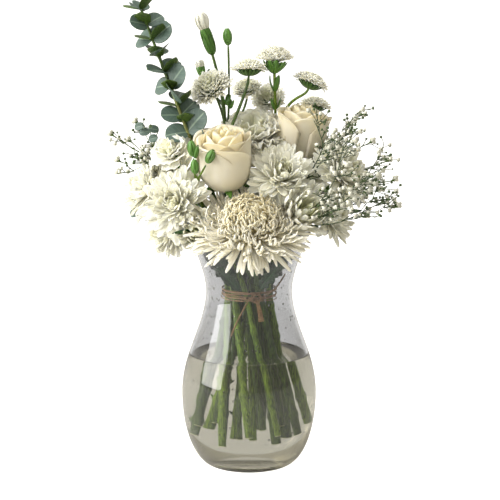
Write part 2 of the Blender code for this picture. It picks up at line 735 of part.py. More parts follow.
def hoop(name, inner, outer, middle_z, width):
    """A ring of flat raffia."""
    half, edge = width / 2, width / 2 * HOOP_EDGE
    section = [(inner, -half), (inner, half), (outer, edge), (outer, -edge)]
    verts = []
    for k in range(WRAP_SIDES):
        angle = 2 * math.pi * k / WRAP_SIDES
        verts += [(r * math.cos(angle), r * math.sin(angle), middle_z + rise)
                  for r, rise in section]
    faces = []
    count = len(section)
    for k in range(WRAP_SIDES):
        here, there = k * count, ((k + 1) % WRAP_SIDES) * count
        for j in range(count):
            step = (j + 1) % count
            faces.append((here + j, there + j, there + step, here + step))
    return solid(name, verts, faces, "raffia")


def ball(name, middle, size, colour, rows=6, around=12):
    """An ellipsoid with half-lengths size."""
    rings = []
    for row in range(1, rows):
        t = math.pi * row / rows
        rings.append([(middle[0] + size[0] * math.sin(t) * math.cos(a),
                       middle[1] + size[1] * math.sin(t) * math.sin(a),
                       middle[2] + size[2] * math.cos(t))
                      for a in np.arange(around) * 2 * math.pi / around])
    top = (middle[0], middle[1], middle[2] + size[2])
    bottom = (middle[0], middle[1], middle[2] - size[2])
    return skin(name, rings, top, bottom, colour)


# The raffia's two ends leave the knot's sides: one up to the right, one down to the left.
LONG_END = [(14.2, -28.6, 184), (20, -30.5, 187), (28, -27, 194), (36, -20, 205)]
SHORT_END = [(-1.5, -32.0, 178), (-7, -35, 168), (-13, -37, 156), (-18, -36, 143)]


def make_tail(name, route):
    """One free end of raffia, a thin stiff cord."""
    length = sum(math.dist(a, b) for a, b in zip(route, route[1:])) * MM
    points = smooth_curve(np.array(route) * MM, int(length / (5 * TAIL_RADIUS)))
    curve = bpy.data.curves.new(name, "CURVE")
    curve.dimensions = "3D"
    curve.bevel_depth = TAIL_RADIUS
    curve.bevel_resolution = 2
    curve.use_fill_caps = True
    spline = curve.splines.new("POLY")
    spline.points.add(len(points) - 1)
    for knot, point in zip(spline.points, points):
        knot.co = (*point, 1)
    curve.materials.append(material("raffia"))
    made = bpy.data.objects.new(name, curve)
    bpy.context.scene.collection.objects.link(made)


# ---- Eucalyptus -------------------------------------------------------------------------

def eucalyptus_leaf(at, way, face):
    """A round flat leaf whose stalk end is at a point and which grows along way."""
    side = unit(np.cross(face, way)) * EUCALYPTUS_LEAF_WIDE
    middle = at + way * EUCALYPTUS_LEAF * EUCALYPTUS_LEAF_REACH
    turns = np.arange(EUCALYPTUS_LEAF_SIDES) * 2 * math.pi / EUCALYPTUS_LEAF_SIDES
    outline = [middle + EUCALYPTUS_LEAF * (way * math.cos(a) + side * math.sin(a))
               for a in turns]
    top = middle + face * LEAF_THICKNESS
    bottom = middle - face * LEAF_THICKNESS
    return skin("leaf", [outline], top, bottom, "eucalyptus")


def eucalyptus_run(stem, line):
    """The eucalyptus stem's route: up through the bouquet and out of its top left."""
    foot, tie, radius = line
    route = [np.array((x * MM, y * MM, VASE_HEIGHT + up * MM)) for x, y, up in EUCALYPTUS_ROUTE]
    leaving = unit(tie - foot)
    through = [tie, tie + leaving * EUCALYPTUS_RISE] + route
    rough = smooth_curve(through, CURVE_STEPS)
    length = np.linalg.norm(np.diff(rough, axis=0), axis=1).sum()
    points = spread(rough, int(length / SAMPLE))
    radii = radius + (stem.branch - radius) * np.linspace(0, 1, len(points))
    return Run(stem, points, radii, None)


def eucalyptus_leaves(run):
    """Pairs of leaves up the outer part of the stem, each pair a quarter turn on."""
    leaves = []
    count = len(run.points)
    for pair in range(EUCALYPTUS_PAIRS):
        k = int(count * (FIRST_PAIR + (1 - FIRST_PAIR) * pair / (EUCALYPTUS_PAIRS - 1)))
        k = min(k, count - 2)
        way = unit(run.points[k + 1] - run.points[k - 1])
        side, up = across(way)
        angle = FIRST_TURN + PAIR_TURN * (pair % 2)
        for flip in (1, -1):
            out = flip * (math.cos(angle) * side + math.sin(angle) * up)
            grow = unit(out + LEAF_RISE * way)
            face = unit(way - grow * np.dot(way, grow) + LEAF_TIP * up)
            face = unit(face - grow * np.dot(face, grow))
            leaves.append(eucalyptus_leaf(run.points[k], grow, face))
    return leaves


# ---- The bouquet --------------------------------------------------------------------------

def puff_bloom(number, twig):
    """A gypsophila flower as a small head, facing away from the bouquet's middle."""
    turn = math.degrees(math.atan2(twig.y, twig.x))
    return Bloom(Head("puff_%d" % number, "puff", twig.stem, twig.x, twig.y, twig.up,
                      PUFF_LEAN, turn, PUFF_RADIUS))


def puff_ball(bloom, run):
    """The puff that closes a twig, set over its end so that they are one body."""
    middle = run.points[-1] + bloom.axis * PUFF_RADIUS * MM * PUFF_SINK
    return ball("puff", middle, (PUFF_RADIUS * MM,) * 3, "mum", 4, 7)


def cut_heads(built, lines, runs):
    """Cuts the vase's room and every stem that comes near out of each head."""
    for bloom, head in built:
        tools = []
        lowest = min((head.matrix_world @ v.co).z for v in head.data.vertices)
        if lowest < VASE_HEIGHT + 3 * GAP:
            tools.append(make_headroom())
        for run in runs:
            if run_touches(run, bloom):
                tools.append(run_tube("room", run, 1.5 * GAP))
        combine(head, tools, "DIFFERENCE")


def run_touches(run, bloom):
    """Whether any of a run comes within its own thickness of a head."""
    points = spread(run.points, len(run.points) * 3)
    offset = points - bloom.middle
    apart = np.linalg.norm(offset, axis=1) + 1e-9
    reach = bloom.reach(offset / apart[:, None])
    return bool(np.any(apart < reach + run.radii.max() + 2 * SPACING))


def build():
    """Everything."""
    clear_scene()
    make_vase()
    lines = {stem.name: (*stem_line(order, stem), stem.radius) for order, stem in enumerate(STEMS)}
    make_water(list(lines.values()))
    make_wrap()
    make_tail("raffia_end_long", LONG_END)
    make_tail("raffia_end_short", SHORT_END)
    blooms = [Bloom(head) for head in HEADS]
    puffs = [puff_bloom(k, twig) for k, twig in enumerate(TWIGS)]
    part_neighbours(blooms)
    runs = []
    for stem in STEMS:
        own = [b for b in blooms + puffs if b.stem == stem.name]
        if own:
            runs += runs_of(stem, lines[stem.name], own)
        else:
            runs.append(eucalyptus_run(stem, lines[stem.name]))
    separate(runs, blooms)
    built = [(bloom, bloom.build()) for bloom in blooms]
    cut_heads(built, lines, runs)
    for stem in STEMS:
        own = [run for run in runs if run.stem is stem]
        extras = [puff_ball(run.bloom, run) for run in own if run.bloom in puffs]
        if stem.name == "stem_eucalyptus":
            extras = eucalyptus_leaves(own[0])
        make_stem(stem, lines[stem.name], own, extras)


build()
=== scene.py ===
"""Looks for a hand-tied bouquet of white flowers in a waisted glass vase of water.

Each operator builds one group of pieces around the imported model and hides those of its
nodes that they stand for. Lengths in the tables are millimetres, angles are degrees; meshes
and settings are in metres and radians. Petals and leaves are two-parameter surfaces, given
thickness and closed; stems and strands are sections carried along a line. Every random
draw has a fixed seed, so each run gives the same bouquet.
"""

import math

import bmesh
import bpy
import numpy as np
from bpy.props import FloatProperty, FloatVectorProperty, IntProperty, PointerProperty
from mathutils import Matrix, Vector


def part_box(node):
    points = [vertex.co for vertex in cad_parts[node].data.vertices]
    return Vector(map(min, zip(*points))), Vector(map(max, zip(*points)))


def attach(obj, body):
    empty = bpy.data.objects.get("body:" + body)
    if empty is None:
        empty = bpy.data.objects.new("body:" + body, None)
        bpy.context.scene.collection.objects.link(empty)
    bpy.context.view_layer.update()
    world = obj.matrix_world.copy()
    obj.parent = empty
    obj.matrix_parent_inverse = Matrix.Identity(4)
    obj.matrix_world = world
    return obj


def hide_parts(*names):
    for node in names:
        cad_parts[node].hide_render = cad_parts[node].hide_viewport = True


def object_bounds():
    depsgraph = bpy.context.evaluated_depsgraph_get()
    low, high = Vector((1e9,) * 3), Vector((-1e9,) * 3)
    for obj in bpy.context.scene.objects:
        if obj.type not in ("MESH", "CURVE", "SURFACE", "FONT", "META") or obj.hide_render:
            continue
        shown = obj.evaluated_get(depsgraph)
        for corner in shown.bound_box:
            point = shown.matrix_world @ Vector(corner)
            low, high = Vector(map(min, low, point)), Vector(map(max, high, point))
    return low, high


bl_info = {
    "name": "White Bouquet in a Glass Vase",
    "version": (1, 0, 0),
    "blender": (4, 5, 0),
    "location": "View3D > Sidebar > Bouquet",
    "description": "Petals, leaves, stems, glass and water for a tied bouquet in a vase",
    "category": "Object",
}

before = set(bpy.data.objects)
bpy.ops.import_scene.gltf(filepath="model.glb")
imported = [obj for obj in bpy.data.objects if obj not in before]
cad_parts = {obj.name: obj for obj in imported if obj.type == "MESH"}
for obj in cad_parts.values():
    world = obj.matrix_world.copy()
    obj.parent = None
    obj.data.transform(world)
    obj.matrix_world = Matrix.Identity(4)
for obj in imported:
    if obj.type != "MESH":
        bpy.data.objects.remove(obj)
CAD_BOX = [list(corner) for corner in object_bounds()]

MM = 0.001
TAU = 2 * math.pi
GOLDEN = math.pi * (3 - math.sqrt(5))
BODY = "root"

VASE_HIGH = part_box("vase")[1]
VASE_HEIGHT = VASE_HIGH[2]
BELLY_RADIUS = VASE_HIGH[0]
WATER_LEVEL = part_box("water")[1][2]
WRAP_LOW, WRAP_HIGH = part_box("raffia_wrap")
TIE_HEIGHT = (WRAP_LOW[2] + WRAP_HIGH[2]) / 2
TIE_RADIUS = WRAP_HIGH[0]

# The glass and the water. HEEL is how much thicker the glass is where its bottom curves up,
# PUNT the hollow under it, and SURFACE_DROP how far the flat of the water lies below the
# level that its meniscus starts from. AIR_IN_GLASS is an air seed's index seen from glass.
HEEL, PUNT, SURFACE_DROP = 4 * MM, 2.2 * MM, 0.4 * MM
GLASS_INDEX, WATER_INDEX, AIR_IN_GLASS = 1.5, 1.33, 0.667
VASE_SIDES = 144
SEEDS, DROPS = 420, 110
# How many of each small thing a head has.
TUFTS, HALF_OPEN_RAYS, FLORETS, CUP_BRACTS, UNDER_BRACTS = 60, 46, 230, 34, 26
# Baby's breath: branchlets on each twig, and how far from the vase's axis they begin.
BRANCHLETS = {"stem_gypsophila_right": 210, "stem_gypsophila_left": 46}
TWIG_REACH = 66
# Below the tie a stem is a tube with this many sides and knuckles.
STEM_SIDES, KNUCKLES = 14, 4
# The tie: its flat strands, the loops of its knot and the width of a free end.
STRANDS, KNOT_LOOPS, RAFFIA_WIDTH = 7, 5, 1.6 * MM

WHITE = (1.0, 1.0, 1.0)
FLOOR_RADIUS = 40
CAMERA_PLACE = (0.001, -1.8, 0.5422)
CAMERA_DOWN = 9.961
LENS, SENSOR = 127.63, 36.0
# Softboxes: where, what they face, width and height, and watts.
SOFTBOXES = {
    "key_softbox": ((-2.0, -0.75, 1.35), (0.0, 0.0, 0.28), (2.0, 2.8), 98.0),
    "top_softbox": ((-0.7, 0.2, 2.2), (0.0, 0.0, 0.25), (1.2, 1.2), 14.0),
    "rim_softbox": ((1.6, 1.2, 1.0), (0.0, 0.0, 0.3), (0.7, 1.2), 6.0),
}


def linear(code):
    """The linear colour of an sRGB hex code."""
    parts = [int(code[k:k + 2], 16) / 255 for k in (0, 2, 4)]
    return tuple(p / 12.92 if p <= 0.04045 else ((p + 0.055) / 1.055) ** 2.4 for p in parts)


# ---- What each head is ----------------------------------------------------------------------
# lean is how far the face tips from straight up, turn the heading it tips towards, from +X
# towards +Y, and radius the flower's widest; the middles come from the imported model.
DISBUD = {"disbud_mum": (29, 271, 61)}
SPRAY_MUMS = {
    "mum_left_face": (68, 247, 34), "mum_left_side": (62, 190, 32),
    "mum_left_low": (95, 212, 28), "mum_front_face": (50, 285, 34),
    "mum_front_back": (15, 280, 22), "mum_low_side": (62, 328, 26),
    "mum_right_face": (55, 322, 33), "mum_rear_left": (60, 150, 32),
    "mum_rear_low": (75, 90, 33), "mum_rear_right": (55, 45, 33),
}
OPENING_MUMS = {"mum_left_opening": (78, 262, 16.5), "mum_low_opening": (60, 300, 21)}
BUTTONS = {
    "button_top": (8, 90, 18), "button_left": (46, 235, 22), "button_mid": (30, 250, 15.5),
    "button_back": (52, 262, 17), "button_right": (24, 20, 18), "button_far_right": (14, 40, 16),
}
# The last three are the number of petals, how deeply they wave and the number of bracts.
CARNATIONS = {
    "carnation_centre": (28, 268, 36, 46, 0.07, 0), "carnation_high": (8, 60, 18, 26, 0.08, 9),
    "carnation_left": (42, 240, 22, 26, 0.03, 0),
}
ROSES = {"rose_front": (16, 262, 28.5), "rose_right": (14, 330, 27), "rose_rear": (30, 110, 26)}
# The last two are the calyx's length behind the bud's middle and the white tip's length.
BUDS = {
    "bud_white_tip": (18, 180, 8.0, 30, 14), "bud_green_tall": (5, 160, 5.4, 10, 0),
    "bud_white_small": (12, 170, 5.2, 10, 6), "bud_green_upper": (8, 180, 5.6, 8, 0),
    "bud_green_round": (30, 330, 5.8, 7, 0), "bud_green_lower": (6, 180, 5.2, 7, 0),
}
LEAVES = {"leaf_right": (-20, 357), "leaf_rear_right": (-28, 21), "leaf_rear_left": (-30, 129),
          "leaf_left": (-28, 170)}
WOODY_STEMS = ("stem_disbud", "stem_rose_front", "stem_rose_right", "stem_rose_rear")
# Twig ends of the baby's breath that carry a puff.
TWIGS = {
    "stem_gypsophila_right": [(104, 6, 356), (126, -4, 340), (144, 4, 320), (149, -12, 302),
                              (152, -20, 276), (134, 12, 288), (121, -10, 264)],
    "stem_gypsophila_left": [(-141, -8, 348), (-134, -14, 322), (-124, 8, 340),
                             (-116, -2, 360), (-136, 14, 306)],
}
# Sprays of baby's breath that reach out over the right-hand heads.
SPRAYS = [
    [(40, -44, 258), (66, -78, 284), (84, -86, 312), (92, -82, 344)],
    [(40, -44, 258), (78, -86, 278), (106, -84, 302), (126, -68, 328)],
    [(40, -44, 258), (84, -88, 268), (116, -78, 280), (140, -60, 290)],
    [(56, -30, 300), (72, -58, 336), (70, -62, 352), (64, -60, 366)],
    [(56, -20, 300), (88, -40, 340), (98, -40, 356), (104, -36, 368)],
]
EUCALYPTUS_LINE = [(-46, -14, 312), (-64, -22, 356), (-84, -19, 410), (-109, -14, 476)]
# Leaves in the vase's mouth: from where, to where.
MOUTH_LEAVES = [((-14, -24, 194), (-43, -22, 231)), ((-18, -20, 200), (-36, -33, 234)),
                ((-10, -30, 190), (-31, -33, 214)), ((15, -24, 196), (40, -22, 230)),
                ((11, -29, 192), (31, -34, 218)), ((-22, 4, 200), (-48, 6, 236)),
                ((20, 8, 200), (46, 14, 236))]
# Small dark leaves on the left twigs, and pairs of bracts up the soft stems: the stem, how
# high, and how long they are.
SIDE_LEAVES = [(-106, -16, 357), (-91, -18, 352), (-92, -20, 345), (-100, -12, 350),
               (-113, -8, 266)]
BRACTS = [("stem_carnation_buds", 398, 17), ("stem_carnation_buds", 392, 14),
          ("stem_carnation_buds", 376, 12), ("stem_carnation", 388, 18),
          ("stem_carnation", 372, 14), ("stem_carnation_left", 330, 14),
          ("stem_button_left", 372, 10)]
# The raffia's two free ends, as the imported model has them.
RAFFIA_ENDS = {
    "raffia_end_long": [(14.2, -28.6, 184), (20, -30.5, 187), (28, -27, 194), (36, -20, 205)],
    "raffia_end_short": [(-1.5, -32.0, 178), (-7, -35, 168), (-13, -37, 156),
                         (-18, -36, 143)],
}
KNOT_TURN = 283
# The strip that hangs from the knot: out, aside and down from its heart.
KNOT_STRIP = [(2, 0, 0), (3.2, 2, 8), (2.6, 4, 17), (1.5, 5.5, 25)]


# ---- Settings a user can change -------------------------------------------------------------

def length_setting(name, description, millimetres, low=0.0, high=1.0):
    """A length property whose default is given in millimetres."""
    return FloatProperty(name=name, description=description, default=millimetres * MM,
                         min=low, max=high, subtype="DISTANCE", unit="LENGTH", precision=5)


def colour_setting(name, description, code):
    """A colour property whose default is an sRGB hex code."""
    return FloatVectorProperty(name=name, description=description, default=linear(code),
                               size=3, min=0.0, max=1.0, subtype="COLOR")


class BouquetSizes(bpy.types.PropertyGroup):
    """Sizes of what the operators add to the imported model."""

    petal_thickness: length_setting("Petal thickness", "Thickness of a chrysanthemum's ray", 0.45)
    rose_thickness: length_setting("Rose petal thickness", "Thickness of a rose's petal", 0.6)
    leaf_thickness: length_setting("Leaf thickness", "Thickness of a leaf's blade", 0.5)
    disbud_rays: IntProperty(name="Large flower's rays", default=760, min=50, max=1200,
                             description="Number of rays in the large incurved flower")
    spray_rays: IntProperty(name="Spray flower's rays", default=140, min=30, max=300,
                            description="Number of rays in each spray chrysanthemum")
    base_radius: length_setting("Vase base radius", "Radius of the vase's underside", 38)
    neck_radius: length_setting("Vase neck radius", "Outer radius of the vase's waist", 44.6)
    rim_radius: length_setting("Vase rim radius", "Outer radius of the vase's mouth", 65)
    neck_height: length_setting("Vase neck height", "Height of the vase's waist", 186)
    belly_height: length_setting("Vase belly height", "Height of the vase's widest ring", 76)
    wall: length_setting("Glass wall", "Thickness of the vase's wall", 3.2)
    glass_floor: length_setting("Glass floor", "Thickness of the vase's bottom", 9)
    seed_radius: length_setting("Seed radius", "Radius of the largest seed in the glass", 0.95)


class BouquetColours(bpy.types.PropertyGroup):
    """Colours of the bouquet's surfaces."""

    white_petal: colour_setting("White petal", "Spray chrysanthemum's ray", "FBF9E6")
    ivory_petal: colour_setting("Ivory petal", "Large chrysanthemum's ray", "FAF4DD")
    heart_yellow: colour_setting("Heart", "Pale yellow at the heart of the large flower",
                                 "F1E2AE")
    eye_green: colour_setting("Eye", "Yellow-green eye of a spray chrysanthemum", "C6C95A")
    rose_cream: colour_setting("Rose", "Rose's outer petal", "F1E6CB")
    rose_heart: colour_setting("Rose heart", "Rose's inner petal", "EDD992")
    carnation_white: colour_setting("Carnation", "Carnation's petal", "FAF8E8")
    button_cream: colour_setting("Button", "Button flower's dome", "F9F7E4")
    sepal_green: colour_setting("Sepal", "Buds, calyxes and bracts", "4F7A2C")
    leaf_green: colour_setting("Leaf", "Chrysanthemum leaf", "274A24")
    eucalyptus_green: colour_setting("Eucalyptus", "Eucalyptus leaf", "41574B")
    stem_green: colour_setting("Stem", "Soft stem", "8DAE34")
    woody_green: colour_setting("Woody stem", "Rose and large flower's stem", "5C7A26")
    raffia_tan: colour_setting("Raffia", "Raffia strand", "CFA873")
    # Partly the glass's own faint grey, partly painted shade that greys what is seen through it.
    glass_tint_and_shade: colour_setting("Glass", "Tint of the glass", "D8D8D8")
    water_tint: colour_setting("Water", "Tint of the vase's water", "FDF8E2")
    paper: colour_setting("Paper", "Studio floor", "CDCBC6")


# ---- Vectors and grids ----------------------------------------------------------------------

UP = np.array((0.0, 0.0, 1.0))


def unit(vectors):
    """The vectors at length 1, along the last axis."""
    size = np.linalg.norm(vectors, axis=-1, keepdims=True)
    return vectors / np.maximum(size, 1e-12)


def axes(lean, turn):
    """Columns side, up and face of a head whose face leans by lean towards turn."""
    tip, way = math.radians(lean), math.radians(turn)
    face = np.array((math.sin(tip) * math.cos(way), math.sin(tip) * math.sin(way),
                     math.cos(tip)))
    upward = np.array((0.0, 1.0, 0.0)) if abs(face[2]) > 0.98 else UP
    side = unit(np.cross(upward, face))
    return np.column_stack((side, np.cross(face, side), face))


def middle(node):
    """The middle of a node's box, in millimetres."""
    low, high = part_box(node)
    return (np.array(low) + np.array(high)) / 2 / MM


def node_points(node):
    """A node's vertices in millimetres, each place once."""
    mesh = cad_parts[node].data
    flat = np.empty(len(mesh.vertices) * 3)
    mesh.vertices.foreach_get("co", flat)
    return np.unique(np.round(flat.reshape(-1, 3) / MM, 3), axis=0)


def smooth_line(points, count):
    """count even points on the Catmull-Rom curve through the points."""
    given = np.asarray(points, float)
    padded = np.vstack((2 * given[0] - given[1], given, 2 * given[-1] - given[-2]))
    t = np.linspace(0, 1, 24, endpoint=False)[None, :, None]
    a, b, c, d = (padded[k:len(padded) - 3 + k, None, :] for k in range(4))
    dense = 0.5 * (2 * b + (c - a) * t + (2 * a - 5 * b + 4 * c - d) * t ** 2
                   + (3 * b - a - 3 * c + d) * t ** 3)
    dense = np.vstack((dense.reshape(-1, 3), given[-1]))
    walked = np.concatenate(([0], np.cumsum(np.linalg.norm(np.diff(dense, axis=0), axis=1))))
    at = np.linspace(0, walked[-1], count)
    return np.column_stack([np.interp(at, walked, dense[:, k]) for k in range(3)])


def petal_outline(s, start, peak, end):
    """Half-width along a petal: from start at the base to 1 at peak, then down to end at the
    tip, each side a quarter of an ellipse. An outline is these three numbers."""
    rise = start + (1 - start) * np.sqrt(np.clip(1 - (1 - s / peak) ** 2, 0, 1))
    fall = end + (1 - end) * np.sqrt(np.clip(1 - ((s - peak) / (1 - peak)) ** 2, 0, 1))
    return np.where(s < peak, rise, fall)


def strap_grids(count, rows, columns, out, rise, turn, lean, bend, length, width, outline,
                cup=0.6, hook=0.0, sway=0.0, ripple=0.0, waves=3.0, teeth=0.0, phase=0.0,
                late=1.6):
    """Petals that grow from a head's middle, as an array (count, rows, columns, 3).

    A petal starts out from the axis and rise along it, at the heading turn. Its midline
    leaves at lean from the axis and has turned by bend at the tip, as the share s of its
    length to the power late. Across it, it is an arc of half-angle cup, plus hook towards
    the tip, on the side of the axis; sway draws the tip sideways, ripple waves it and teeth
    notch its edge.
    """
    s = np.sin(np.linspace(0, 1, rows) * math.pi / 2)
    v = np.linspace(-1, 1, columns)

    def spread(value):
        return np.broadcast_to(np.asarray(value, float), (count,))[:, None, None]

    theta = spread(lean) + spread(bend) * s[None, :, None] ** late
    step = np.diff(s, prepend=0)[None, :, None] * spread(length)
    half = (theta + np.roll(theta, 1, axis=1)) / 2
    half[:, 0] = theta[:, 0]
    along_out = spread(out) + np.cumsum(step * np.sin(half), axis=1)
    along_axis = spread(rise) + np.cumsum(step * np.cos(half), axis=1)
    half_width = spread(width) / 2 * petal_outline(s, *outline)[None, :, None]
    arc = spread(cup) + spread(hook) * s[None, :, None] ** 2 + 1e-3
    v = v[None, None, :]
    sideways = half_width * np.sin(v * arc) / arc
    sideways = sideways + spread(sway) * s[None, :, None] ** 2
    lift = half_width * (1 - np.cos(v * arc)) / arc
    wave = np.sin(spread(waves) * v * math.pi + spread(phase))
    lift = lift + spread(ripple) * wave * s[None, :, None] ** 1.5
    saw = np.abs((np.arange(columns) + 1) % 2 - 0.5)[None, None, :] - 0.5
    forward = spread(teeth) * (saw - 0.8 * v ** 2) * s[None, :, None] ** 4
    radial = along_out - lift * np.cos(theta) + forward * np.sin(theta)
    axial = along_axis + lift * np.sin(theta) + forward * np.cos(theta)
    heading = spread(turn)
    return np.stack((radial * np.cos(heading) - sideways * np.sin(heading),
                     radial * np.sin(heading) + sideways * np.cos(heading), axial), axis=-1)


def blade_grids(roots, ways, faces, lengths, widths, outline, rows, columns, fold, droop,
                lobes=0.0, buckle=0.0):
    """Leaves as an array (count, rows, columns, 3).

    Each grows from its root along its way with its upper side towards its face. fold lifts
    its halves about the midrib, droop lowers it as the square of the distance along, lobes
    notches its edge five times a side and buckle lifts it between its side veins.
    """
    s = np.linspace(0, 1, rows)[None, :, None]
    v = np.linspace(-1, 1, columns)[None, None, :]
    ways = unit(ways)
    sides = unit(np.cross(faces, ways))
    ups = np.cross(ways, sides)
    lengths = np.asarray(lengths, float)[:, None, None]
    half = np.asarray(widths, float)[:, None, None] / 2 * petal_outline(s, *outline)
    notch = 1 - lobes * (0.5 - 0.5 * np.cos(TAU * 4.5 * s + 1.5)) * np.abs(v) ** 3
    across = half * v * notch
    along = lengths * (s + 0.12 * lobes * np.abs(v) * s)
    lift = (fold * half * np.abs(v) - droop * lengths * s ** 2
            + buckle * np.abs(v) * (1 - np.abs(v)) * np.sin(TAU * 5 * s - 3 * np.abs(v)) * half)
    frames = (roots[:, None, None, :] + along[..., None] * ways[:, None, None, :]
              + across[..., None] * sides[:, None, None, :])
    return frames + np.broadcast_to(lift, across.shape)[..., None] * ups[:, None, None, :]


def closed_sheets(grids, thickness):
    """Vertices, quads and (s, v) for grids given thickness; a sheet's two sides share its edge.

    The lower side is the upper one less thickness times sqrt(1 - v^2) along the surface's
    normal, which is the cross product of the grid's two differences.
    """
    count, rows, columns = grids.shape[:3]
    normals = unit(np.cross(np.gradient(grids, axis=1), np.gradient(grids, axis=2)))
    v = np.linspace(-1, 1, columns)
    profile = thickness * np.sqrt(1 - v ** 2)[None, None, :, None]
    lower = (grids - normals * profile)[:, 1:-1, 1:-1]
    verts = np.concatenate((grids.reshape(count, -1, 3), lower.reshape(count, -1, 3)), axis=1)
    top = np.arange(rows * columns).reshape(rows, columns)
    bottom = top.copy()
    bottom[1:-1, 1:-1] = rows * columns + np.arange((rows - 2) * (columns - 2)).reshape(
        rows - 2, columns - 2)
    quads = np.concatenate((grid_quads(top), grid_quads(bottom)[:, ::-1]))
    each = verts.shape[1]
    faces = (quads[None] + (np.arange(count) * each)[:, None, None]).reshape(-1, 4)
    s_top, v_top = np.meshgrid(np.linspace(0, 1, rows), v, indexing="ij")
    one = np.stack((np.concatenate((s_top.ravel(), s_top[1:-1, 1:-1].ravel())),
                    np.concatenate((v_top.ravel(), v_top[1:-1, 1:-1].ravel()))), axis=1)
    return verts.reshape(-1, 3), faces, np.tile(one, (count, 1)), each


def grid_quads(index):
    """Quads of a grid of vertex numbers."""
    return np.stack((index[:-1, :-1], index[1:, :-1], index[1:, 1:], index[:-1, 1:]),
                    axis=-1).reshape(-1, 4)


def tube_grids(lines, radii, sides, flat=1.0):
    """Rings (count, rows, sides, 3) of ellipses carried along lines (count, rows, 3); flat is
    the ellipse's second radius over its first."""
    ways = unit(np.gradient(lines, axis=1))
    mean = np.abs(ways.mean(axis=1))
    helper = np.eye(3)[np.argmin(mean, axis=1)][:, None, :]
    side = unit(np.cross(ways, helper))
    up = np.cross(ways, side)
    turns = np.arange(sides) * TAU / sides
    size = np.broadcast_to(radii, lines.shape[:2])[..., None, None]
    return (lines[:, :, None, :] + size * (np.cos(turns)[:, None] * side[:, :, None, :]
                                           + flat * np.sin(turns)[:, None]
                                           * up[:, :, None, :]))


def closed_tubes(grids):
    """Vertices and faces of rings joined into tubes, with a flat face at each end."""
    count, rows, sides = grids.shape[:3]
    index = np.arange(rows * sides).reshape(rows, sides)
    index = np.concatenate((index, index[:, :1]), axis=1)
    shift = (np.arange(count) * rows * sides)[:, None, None]
    quads = (grid_quads(index)[None, :, ::-1] + shift).reshape(-1, 4)
    ends = np.stack((index[0, :-1], index[-1, :-1][::-1]))
    caps = (ends[None] + shift).reshape(-1, sides)
    return grids.reshape(-1, 3), [quads, caps]


def turned(profile, sides):
    """Vertices and faces of a profile (radius, height) turned about Z; its first and last
    points lie on the axis."""
    profile = np.asarray(profile, float)
    turns = np.arange(sides) * TAU / sides
    ring = profile[1:-1]
    verts = np.stack((ring[:, :1] * np.cos(turns), ring[:, :1] * np.sin(turns),
                      np.repeat(ring[:, 1:], sides, axis=1)), axis=-1).reshape(-1, 3)
    index = np.arange(len(verts)).reshape(len(ring), sides)
    index = np.concatenate((index, index[:, :1]), axis=1)
    first, last = len(verts), len(verts) + 1
    verts = np.vstack((verts, (0, 0, profile[0, 1]), (0, 0, profile[-1, 1])))
    low = np.stack((np.full(sides, first), index[0, 1:], index[0, :-1]), axis=1)
    high = np.stack((np.full(sides, last), index[-1, :-1], index[-1, 1:]), axis=1)
    return verts, [grid_quads(index)[:, ::-1], low, high]


def balls(centres, radii, rows, sides, bumps=0.0):
    """Vertices and faces of small closed balls; bumps swells and sinks them in eight lobes."""
    centres, radii = np.asarray(centres, float), np.asarray(radii, float)
    t = np.linspace(0, math.pi, rows + 2)[1:-1]
    turns = np.arange(sides) * TAU / sides
    ring = np.stack((np.sin(t)[:, None] * np.cos(turns), np.sin(t)[:, None] * np.sin(turns),
                     np.repeat(np.cos(t)[:, None], sides, axis=1)), axis=-1)
    lobe = 1 + bumps * ((np.arange(rows)[:, None] + np.arange(sides)) % 2 - 0.5)
    one = (ring * lobe[..., None]).reshape(-1, 3)
    verts = centres[:, None, :] + radii[:, None, None] * one[None]
    index = np.arange(rows * sides).reshape(rows, sides)
    index = np.concatenate((index, index[:, :1]), axis=1)
    shift = (np.arange(len(centres)) * rows * sides)[:, None, None]
    quads = (grid_quads(index)[None] + shift).reshape(-1, 4)
    ends = np.stack((index[0, :-1][::-1], index[-1, :-1]))
    return verts.reshape(-1, 3), [quads, (ends[None, :, ::-1] + shift).reshape(-1, sides)]


# ---- Pieces ---------------------------------------------------------------------------------

def make_piece(name, verts, faces, material, slot, nodes=(), shades=None):
    """A mesh object from millimetre vertices and arrays of faces, riding on the body."""
    sets = faces if isinstance(faces, list) else [faces]
    mesh = bpy.data.meshes.new(name)
    mesh.vertices.add(len(verts))
    mesh.vertices.foreach_set("co", (np.asarray(verts) * MM).ravel())
    loops = np.concatenate([group.ravel() for group in sets])
    sizes = np.concatenate([np.full(len(group), group.shape[1]) for group in sets])
    mesh.loops.add(len(loops))
    mesh.loops.foreach_set("vertex_index", loops.astype(np.int32))
    mesh.polygons.add(len(sizes))
    mesh.polygons.foreach_set("loop_start", np.concatenate(([0], np.cumsum(sizes)[:-1])))
    mesh.update(calc_edges=True)
    mesh.shade_smooth()
    if shades is not None:
        layer = mesh.color_attributes.new("shade", "FLOAT_COLOR", "POINT")
        layer.data.foreach_set("color", np.asarray(shades, np.float32).ravel())
    mesh.materials.append(material)
    piece = bpy.data.objects.new(name, mesh)
    bpy.context.scene.collection.objects.link(piece)
    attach(piece, BODY)
    if nodes:
        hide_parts(*nodes)
    return piece


def join(parts):
    """One (verts, faces) of several, each with a list of face arrays."""
    verts, groups, start = [], {}, 0
    for points, faces in parts:
        for group in faces if isinstance(faces, list) else [faces]:
            groups.setdefault(group.shape[1], []).append(group + start)
        verts.append(points)
        start += len(points)
    return np.vstack(verts), [np.vstack(groups[key]) for key in sorted(groups)]


